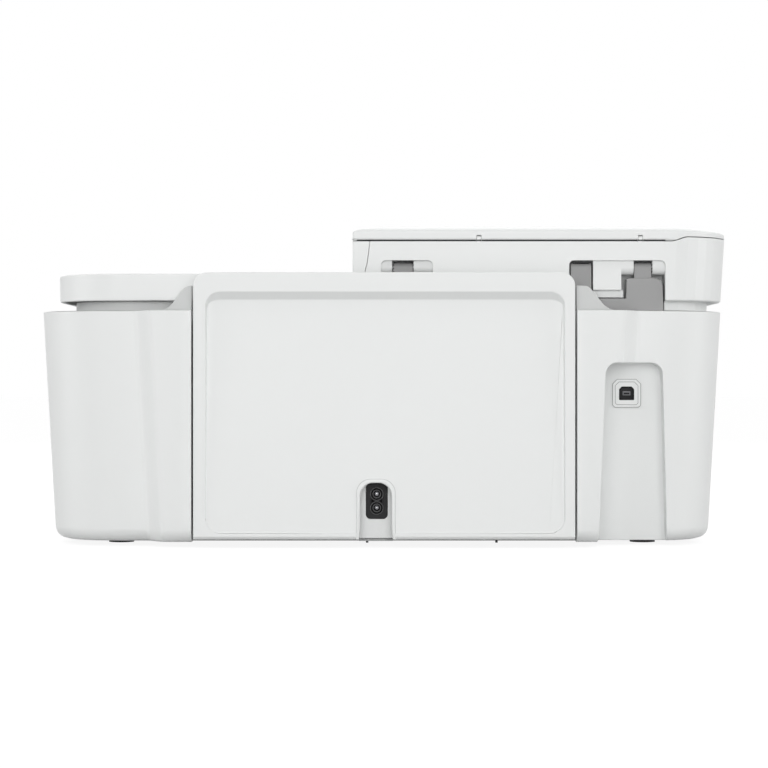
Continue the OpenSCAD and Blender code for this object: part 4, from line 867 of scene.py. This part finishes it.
def build_seams():
    """Dark strips painted as shade in the lid's seam and over the lugs, and dark blocks painted as shade over
    the hinge posts and in the slots at their necks.
    """
    lid_lo, lid_hi = mm_box("lid")
    back, seam = lid_hi[1], lid_lo[2]
    strips = []
    # Thin dark strips on the lid's chamfer: painted shade that darkens the seam
    for x0, x1 in SEAM_SHADE_RUNS:
        half = (x1 - x0) / 2
        middle = Matrix.Translation(((x0 + x1) / 2 * MM, (back - SEAM_SHADE_IN) * MM, (seam + SEAM_SHADE_UP) * MM))
        strips.append(block("strip", (-half, -0.4, -0.06), (half, 0.4, 0.06), 0.03,
                            middle @ Matrix.Rotation(math.radians(SEAM_SHADE_LEAN), 4, "X")))
    fit(joined("lid_seal", strips), "lid", "dark_plastic")
    # Dark blocks over the lugs carry the painted seam shade across them
    lug_shades = [block("cap", (x - 1.3, back - 0.6, seam - 0.4), (x + 1.3, back + 0.07, seam + 0.6), 0.05)
            for x in LUGS]
    fit(joined("lug_caps", lug_shades), "scanner_housing", "dark_plastic")
    # Dark strip painted over each neck as the shade under the recess's top
    top = mm_box("hinge_posts")[1][2]
    front, rear = POST_SHADE_Y
    post_shades = [block("seal", (x0, front, top - 0.1), (x1, rear, top + 0.75), 0.15) for x0, x1 in POST_NECKS]
    fit(joined("post_seals", post_shades), "hinge_posts", "dark_plastic")
    # Small dark blocks painted at the sides of the necks as the shade in their slots
    front, rear = SLOT_SHADE_Y
    half, half_high = SLOT_SHADE_HALF
    slot_shades = [block("stop", (x - half, front, z - half_high), (x + half, rear, z + half_high), 0.1)
             for neck in POST_NECKS[1:] for x in neck for z in SLOT_SHADE_HEIGHTS]
    fit(joined("post_stops", slot_shades), "hinge_posts", "dark_plastic")


# ---------------------------------------------------------------- scanner details
TICK_STEP = 10
TICK_HALF = 0.3
TICK_GAP = 1.5
CORNER_ARROW = [(-2.6, -2.6), (2.4, -0.4), (-0.4, 2.4)]
# Corners of the lamp strip in the scan bar's groove
LAMP_STRIP = ((-188, 113.9, 176.5), (-14, 116.1, 179.1))
BAR_SCREW_Y = (109.8, 121.2)
BAR_SCREW_IN = 6
BAR_SCREW_SUNK = 0.8


def tick_length(i):
    """Every fifth tick is a long one."""
    return 4 if i % 5 == 0 else 2.4


def build_scanner():
    """Ticks along two edges of the glass, the corner arrow, the lamp strip and the scan bar's screws."""
    top = mm_box("scanner_bezel")[1][2] - 0.1
    glass_lo, glass_hi = mm_box("scanner_glass")
    back, left = glass_hi[1] + TICK_GAP, glass_lo[0] - TICK_GAP
    low, high = top - 0.1, top + MARK
    ticks = [block("tick", (x - TICK_HALF, back, low), (x + TICK_HALF, back + tick_length(i), high), 0.03)
             for i, x in enumerate(range(-190, 5, TICK_STEP))]
    ticks += [block("tick", (left - tick_length(i), y - TICK_HALF, low), (left, y + TICK_HALF, high), 0.03)
              for i, y in enumerate(range(120, -151, -TICK_STEP))]
    corner = turned((glass_hi[0] + 4.5, back + 3.5, low))
    ticks.append(prism("corner_arrow", CORNER_ARROW, MARK + 0.1, 0.03, corner))
    fit(joined("scanner_marks", ticks), "scanner_bezel", "hinge_grey")
    fit(block("lamp_strip", *LAMP_STRIP, 0.6), "scan_bar", "foam")
    lo, hi = mm_box("scan_bar")
    corners = [(x, y, hi[2] - BAR_SCREW_SUNK) for x in (lo[0] + BAR_SCREW_IN, hi[0] - BAR_SCREW_IN)
               for y in BAR_SCREW_Y]
    screws("scan_bar_screws", "scan_bar", corners, sizes().tiny_screw)


# ---------------------------------------------------------------- print mechanism
RAIL_SCREW_X = (-170, -85, 0, 85, 170)
RAIL_SCREW_Y = 41
STRIP_END = 193.6
STRIP_Y = 40.0
STRIP_Z = (121.5, 127.5)
STRIP_HALF = 0.15
HOOK_HALF = 0.8
HOOK_REACH = (189.5, 194.2)
# Left and right side of the reader, then front, rear, top and rounding of its two walls and its floor
READER_X = (150, 163)
READER_FOOT = 117.0
READER_PARTS = ((36.4, 39.2, 129.0, 0.4), (40.8, 42.3, 129.0, 0.4), (36.4, 42.3, 120.6, 0.3))
# Left and right side of the labels on the two cartridges
LABELS = {"black_cartridge": (120.5, 145.3), "color_cartridge": (152.5, 186.5)}
# Left side of each square ink mark on the colour cartridge, then the front side and length of all
INK_MARKS = {"cyan": 157, "magenta": 166, "yellow": 175}
INK_MARK_Y = -24
INK_MARK = 7


def ink_mark(name, x, bottom):
    """Plain square that tells the ink."""
    return block("ink_mark_" + name, (x, INK_MARK_Y, bottom),
                 (x + INK_MARK, INK_MARK_Y + INK_MARK, bottom + 0.15), 0.05)


def build_mechanism():
    """Screws of the rail, encoder strip with its hooks and reader, and the cartridges' labels."""
    rail = mm_box("chassis")[1][2]
    screws("rail_screws", "chassis", [(x, RAIL_SCREW_Y, rail) for x in RAIL_SCREW_X], sizes().small_screw)
    low, high = STRIP_Z
    strip = block("encoder_strip", (-STRIP_END, STRIP_Y - STRIP_HALF, low),
                  (STRIP_END, STRIP_Y + STRIP_HALF, high), 0.08)
    fit(strip, "chassis", "black_gloss")
    near, far = HOOK_REACH
    hooks = [block("hook", (x0, STRIP_Y - HOOK_HALF, low - 1), (x1, STRIP_Y + HOOK_HALF, high + 1), 0.3)
             for x0, x1 in ((-far, -near), (near, far))]
    fit(joined("strip_hooks", hooks), "chassis", "steel")
    left, right = READER_X
    reader = [block("reader", (left, front, READER_FOOT), (right, rear, top), edge)
              for front, rear, top, edge in READER_PARTS]
    fit(joined("strip_reader", reader), "carriage", "dark_plastic")

    for node, (x0, x1) in LABELS.items():
        top = mm_box(node)[1][2]
        fit(block(node + "_label", (x0, -29, top - 0.1), (x1, 9, top + 0.2), 0.12), node, "casing", "label")
    bottom = mm_box("color_cartridge")[1][2] + 0.15
    for ink, x in INK_MARKS.items():
        fit(ink_mark(ink, x, bottom), "color_cartridge", "ink_color", ink)
    fit(ink_mark("black", 125, bottom), "black_cartridge", "ink_black")


# ---------------------------------------------------------------- board and power supply
BOARD_TOP = 88.7
# Left, front, right and rear side of each chip, and its height over the board
CHIPS = ((-158, 94, -142, 108, 1.5), (-172, 96, -164, 106, 1.2), (-139, 72, -132, 84, 1.2))
SOCKETS = ((-179, 84, -174.5, 92, 4.5), (-179, 112, -174.5, 120, 4.5), (-146, 61, -130, 64.5, 4))
# Front ends of the two rows of legs, and the pitch of the legs and of the small parts
LEG_ROWS = (92.8, 107.8)
LEG_PITCH = 1.05
PASSIVE_PITCH = 2.4
CAN_RADIUS = 3.1
CAN_HEIGHT = 7.2
CAN_Y = 72
SLIT_PITCH = 3.6


def on_board(name, parts, edge):
    """Blocks that stand on the board."""
    return [block(name, (x0, y0, BOARD_TOP - 0.1), (x1, y1, BOARD_TOP + height), edge)
            for x0, y0, x1, y1, height in parts]


def build_electronics():
    """Chips with their legs, small parts, cans and sockets on the board, black strips painted as the shade in
    the supply's slits, and its screws.
    """
    fit(joined("board_chips", on_board("chip", CHIPS, 0.2)), "main_board", "ink_black")
    foot = BOARD_TOP - 0.05
    legs = []
    for y in LEG_ROWS:
        leg = block("leg", (-157, y, foot), (-156.4, y + 1.4, BOARD_TOP + 0.35), 0.05)
        legs.append(array(leg, 14, (LEG_PITCH, 0, 0)))
    passive = block("passive", (-150, 66, foot), (-148.4, 66.9, BOARD_TOP + 0.6), 0.08)
    legs.append(array(passive, 7, (0, PASSIVE_PITCH, 0)))
    fit(joined("board_legs", legs), "main_board", "contact_metal")
    middle = BOARD_TOP - 0.1 + CAN_HEIGHT / 2
    cans = [disc("can", (x, CAN_Y, middle), CAN_RADIUS, CAN_HEIGHT, sides=32, edge=0.4) for x in (-174, -166)]
    fit(joined("board_cans", cans), "main_board", "steel")
    fit(joined("board_sockets", on_board("socket", SOCKETS, 0.3)), "main_board", "gear_white")
    lo, hi = mm_box("power_supply")
    # Black strips painted as the shade inside the supply's slits
    slit_shade = block("supply_slits", (34, 84, hi[2] - 0.2), (35.6, 116, hi[2] + 0.05), 0.1)
    fit(array(slit_shade, 7, (SLIT_PITCH, 0, 0)), "power_supply", "ink_black")
    corners = [(x, y, hi[2]) for x in (lo[0] + 6, hi[0] - 6) for y in (lo[1] + 5, hi[1] - 5)]
    screws("supply_screws", "power_supply", corners, sizes().small_screw)


# ---------------------------------------------------------------- trays and underside
TRAY_FLOOR = 41.0
RIB_HALF = 0.6
RIB_PITCH = 24
# The ribs beside the extension run further to the front than those over it
EXTENSION_HALF = 55
LONG_RIB_FRONT = -150
SHORT_RIB_FRONT = -118
RIB_REAR = -26
WIDTH_FACE = 160.0
# Half widths of the usual sheets
SHEET_HALVES = (52.5, 74, 91, 105)
VENT_PITCH = 4


def build_trays():
    """Ribs of the output tray, sheet widths on the rear panel and black strips painted as the shade in the
    vents of the bottom pan.
    """
    ribs = []
    for x in range(-84, 85, RIB_PITCH):
        front = LONG_RIB_FRONT if abs(x) > EXTENSION_HALF else SHORT_RIB_FRONT
        ribs.append(block("rib", (x - RIB_HALF, front, TRAY_FLOOR - 0.2),
                          (x + RIB_HALF, RIB_REAR, TRAY_FLOOR + 0.7), 0.25))
    fit(joined("tray_ribs", ribs), "output_tray", "dark_plastic")
    low, high = WIDTH_FACE - 0.12, WIDTH_FACE + 0.1
    places = [-half for half in SHEET_HALVES[::-1]] + list(SHEET_HALVES)
    marks = [block("mark", (x - 0.25, low, 158.5), (x + 0.25, high, 163.5), 0.03) for x in places]
    marks += [block("mark", (x - 4, low, 156.6), (x + 4, high, 157.1), 0.03) for x in (places[0], places[-1])]
    fit(joined("width_marks", marks), "tray_panel", "hinge_grey")
    floor = mm_box("bottom_pan")[0][2]
    # Black strips painted as the shade inside the pan's vents
    vent_shade = block("pan_vents", (60, 10, floor - 0.06), (61.8, 52, floor + 0.2), 0.04)
    fit(array(vent_shade, 14, (VENT_PITCH, 0, 0)), "bottom_pan", "ink_black")


# ---------------------------------------------------------------- studio
WHITE = (1, 1, 1, 1)
FLOOR_GREY = (0.45, 0.45, 0.45, 1)
FLOOR_GLOW = 1.31
FLOOR_SHARE = 0.68
FLOOR_SIZE = 30
SENSOR = 36.0
# Place, aim and size of each light in metres
LIGHTS = {
    "key": ((0.0, 2.0, 0.42), (0, 0.1, 0.1), (1.8, 1.0)),
    "front fill": ((0.0, -1.9, 0.9), (0, -0.1, 0.1), (1.8, 1.0)),
    "overhead": ((0.0, 0.5, 2.0), (0, 0.1, 0.1), (1.4, 1.0)),
    "left strip": ((-1.5, 0.4, 0.5), (-0.1, 0, 0.1), (0.6, 1.6)),
    "right strip": ((1.5, 0.4, 0.5), (0.1, 0, 0.1), (0.6, 1.6)),
}


def seen_rays(g):
    """One where the background itself is seen, mirrored or looked at through glass."""
    camera, mirrored, through = (g.node("LightPath", out=i) for i in (0, 3, 6))
    return camera.largest(mirrored).largest(through)


def area_light(name, at, aim, size, power):
    """Soft light at a place, turned to another one, its sizes in metres."""
    light = bpy.data.lights.new(name, "AREA")
    light.shape = "RECTANGLE"
    light.size, light.size_y = size
    light.energy = power
    lamp = bpy.data.objects.new(name, light)
    lamp.location = at
    lamp.rotation_euler = (Vector(aim) - Vector(at)).to_track_quat("-Z", "Y").to_euler()
    bpy.context.scene.collection.objects.link(lamp)


def build_camera(scene, studio):
    camera = bpy.data.cameras.new("camera")
    camera.sensor_width = SENSOR
    camera.lens = studio.lens
    scene.camera = bpy.data.objects.new("camera", camera)
    scene.camera.location = (studio.shift, studio.distance, studio.height)
    scene.camera.rotation_euler = (math.radians(90), 0, math.radians(180))
    scene.collection.objects.link(scene.camera)


def build_floor():
    """Pale floor that keeps the printer's shadow."""
    clear_selection()
    bpy.ops.mesh.primitive_plane_add(size=FLOOR_SIZE, location=(0, 0, 0))
    floor = bpy.context.object
    floor.name = "floor"
    g = Graph("floor")
    matt = g.node("BsdfPrincipled", Base_Color=FLOOR_GREY, Roughness=0.7)
    glow = g.node("Emission", Strength=FLOOR_GLOW)
    mix = g.node("MixShader", places={0: seen_rays(g) * FLOOR_SHARE, 1: matt, 2: glow})
    g.node("OutputMaterial", Surface=mix)
    floor.data.materials.append(g.mat)
    floor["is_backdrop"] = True


def build_world(scene, strength):
    """Plain surrounding light, and white wherever the background is seen."""
    scene.world = bpy.data.worlds.new("studio")
    g = Graph(world=scene.world)
    lit = g.node("Background", Color=WHITE, Strength=strength)
    white = g.node("Background", Color=WHITE, Strength=1.0)
    g.node("OutputWorld", Surface=g.node("MixShader", places={0: seen_rays(g), 1: lit, 2: white}))


def build_studio():
    scene = bpy.context.scene
    studio = scene.printer_studio
    scene.view_settings.view_transform = "Standard"
    build_camera(scene, studio)
    build_floor()
    build_world(scene, studio.world)
    shares = {"key": 1.0, "front fill": studio.front, "overhead": studio.overhead,
              "left strip": studio.strips, "right strip": studio.strips}
    for name, (at, aim, size) in LIGHTS.items():
        area_light(name, at, aim, size, studio.key_power * shares[name])


# ---------------------------------------------------------------- operators
class PRINTER_OT_finishes(bpy.types.Operator):
    """Build the finishes and put them on the solids"""
    bl_idname = "printer.finishes"
    bl_label = "Finish the Solids"

    def execute(self, context):
        build_materials()
        dress_solids()
        return {"FINISHED"}


class PRINTER_OT_screws(bpy.types.Operator):
    """Add the screw heads"""
    bl_idname = "printer.screws"
    bl_label = "Add the Screws"

    def execute(self, context):
        build_screws()
        return {"FINISHED"}


class PRINTER_OT_sockets(bpy.types.Operator):
    """Add the rings and pin tips of the inlet, the welt round it with lines of painted shade, and the painted
    shade in the data port's mouth and the tongue
    """
    bl_idname = "printer.sockets"
    bl_label = "Finish the Rear Sockets"

    def execute(self, context):
        build_inlet()
        build_notch()
        build_data_port()
        return {"FINISHED"}


class PRINTER_OT_panel_marks(bpy.types.Operator):
    """Add the signs on the keys, the display's content and the lamps"""
    bl_idname = "printer.panel_marks"
    bl_label = "Mark the Control Panel"

    def execute(self, context):
        build_panel()
        return {"FINISHED"}


class PRINTER_OT_seams(bpy.types.Operator):
    """Add the dark strips and blocks that paint the shade in the lid's seam and at the hinge posts"""
    bl_idname = "printer.seams"
    # The seals in this label are dark pieces that paint shade
    bl_label = "Seal the Seams"

    def execute(self, context):
        build_seams()
        return {"FINISHED"}


class PRINTER_OT_scanner(bpy.types.Operator):
    """Add the marks round the glass and the scan bar's lamp"""
    bl_idname = "printer.scanner"
    bl_label = "Detail the Scanner"

    def execute(self, context):
        build_scanner()
        return {"FINISHED"}


class PRINTER_OT_mechanism(bpy.types.Operator):
    """Add the rail screws, encoder strip and cartridge labels"""
    bl_idname = "printer.mechanism"
    bl_label = "Detail the Print Mechanism"

    def execute(self, context):
        build_mechanism()
        return {"FINISHED"}


class PRINTER_OT_electronics(bpy.types.Operator):
    """Fit the small parts of the circuit board and the power supply"""
    bl_idname = "printer.electronics"
    bl_label = "Fit the Electronics"

    def execute(self, context):
        build_electronics()
        return {"FINISHED"}


class PRINTER_OT_trays(bpy.types.Operator):
    """Add the tray ribs, width marks and the painted shade of the underside's vents"""
    bl_idname = "printer.trays"
    bl_label = "Detail the Trays and Underside"

    def execute(self, context):
        build_trays()
        return {"FINISHED"}


class PRINTER_OT_studio(bpy.types.Operator):
    """Set the camera, floor and lights"""
    bl_idname = "printer.studio"
    bl_label = "Set the Studio"

    def execute(self, context):
        build_studio()
        return {"FINISHED"}


class PRINTER_PT_panel(bpy.types.Panel):
    """Sidebar with the printer's values and steps"""
    bl_label = "Printer"
    bl_idname = "PRINTER_PT_panel"
    bl_space_type = "VIEW_3D"
    bl_region_type = "UI"
    bl_category = "Printer"

    def draw(self, context):
        for group in (getattr(context.scene, key) for key in GROUPS):
            box = self.layout.box()
            for key in group.__annotations__:
                box.prop(group, key)
        for op in OPERATORS:
            self.layout.operator(op.bl_idname)


OPERATORS = (
    PRINTER_OT_finishes, PRINTER_OT_screws, PRINTER_OT_sockets, PRINTER_OT_panel_marks, PRINTER_OT_seams,
    PRINTER_OT_scanner, PRINTER_OT_mechanism, PRINTER_OT_electronics, PRINTER_OT_trays, PRINTER_OT_studio,
)
GROUPS = {"printer_finish": PrinterFinish, "printer_sizes": PrinterSizes, "printer_studio": PrinterStudio}


def register():
    for cls in (*GROUPS.values(), *OPERATORS, PRINTER_PT_panel):
        bpy.utils.register_class(cls)
    for key, cls in GROUPS.items():
        setattr(bpy.types.Scene, key, PointerProperty(type=cls))


def unregister():
    for key in GROUPS:
        delattr(bpy.types.Scene, key)
    for cls in (PRINTER_PT_panel, *OPERATORS[::-1], *GROUPS.values()):
        bpy.utils.unregister_class(cls)


def main():
    register()
    for op in OPERATORS:
        group, call = op.bl_idname.split(".")
        if getattr(getattr(bpy.ops, group), call)() != {"FINISHED"}:
            raise RuntimeError(f"{op.bl_idname} did not finish")
    plain = lambda b: [list(map(float, c)) for c in b]
    {"before": plain(CAD_BOX), "after": plain(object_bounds())}


if __name__ == "__main__":
    main()
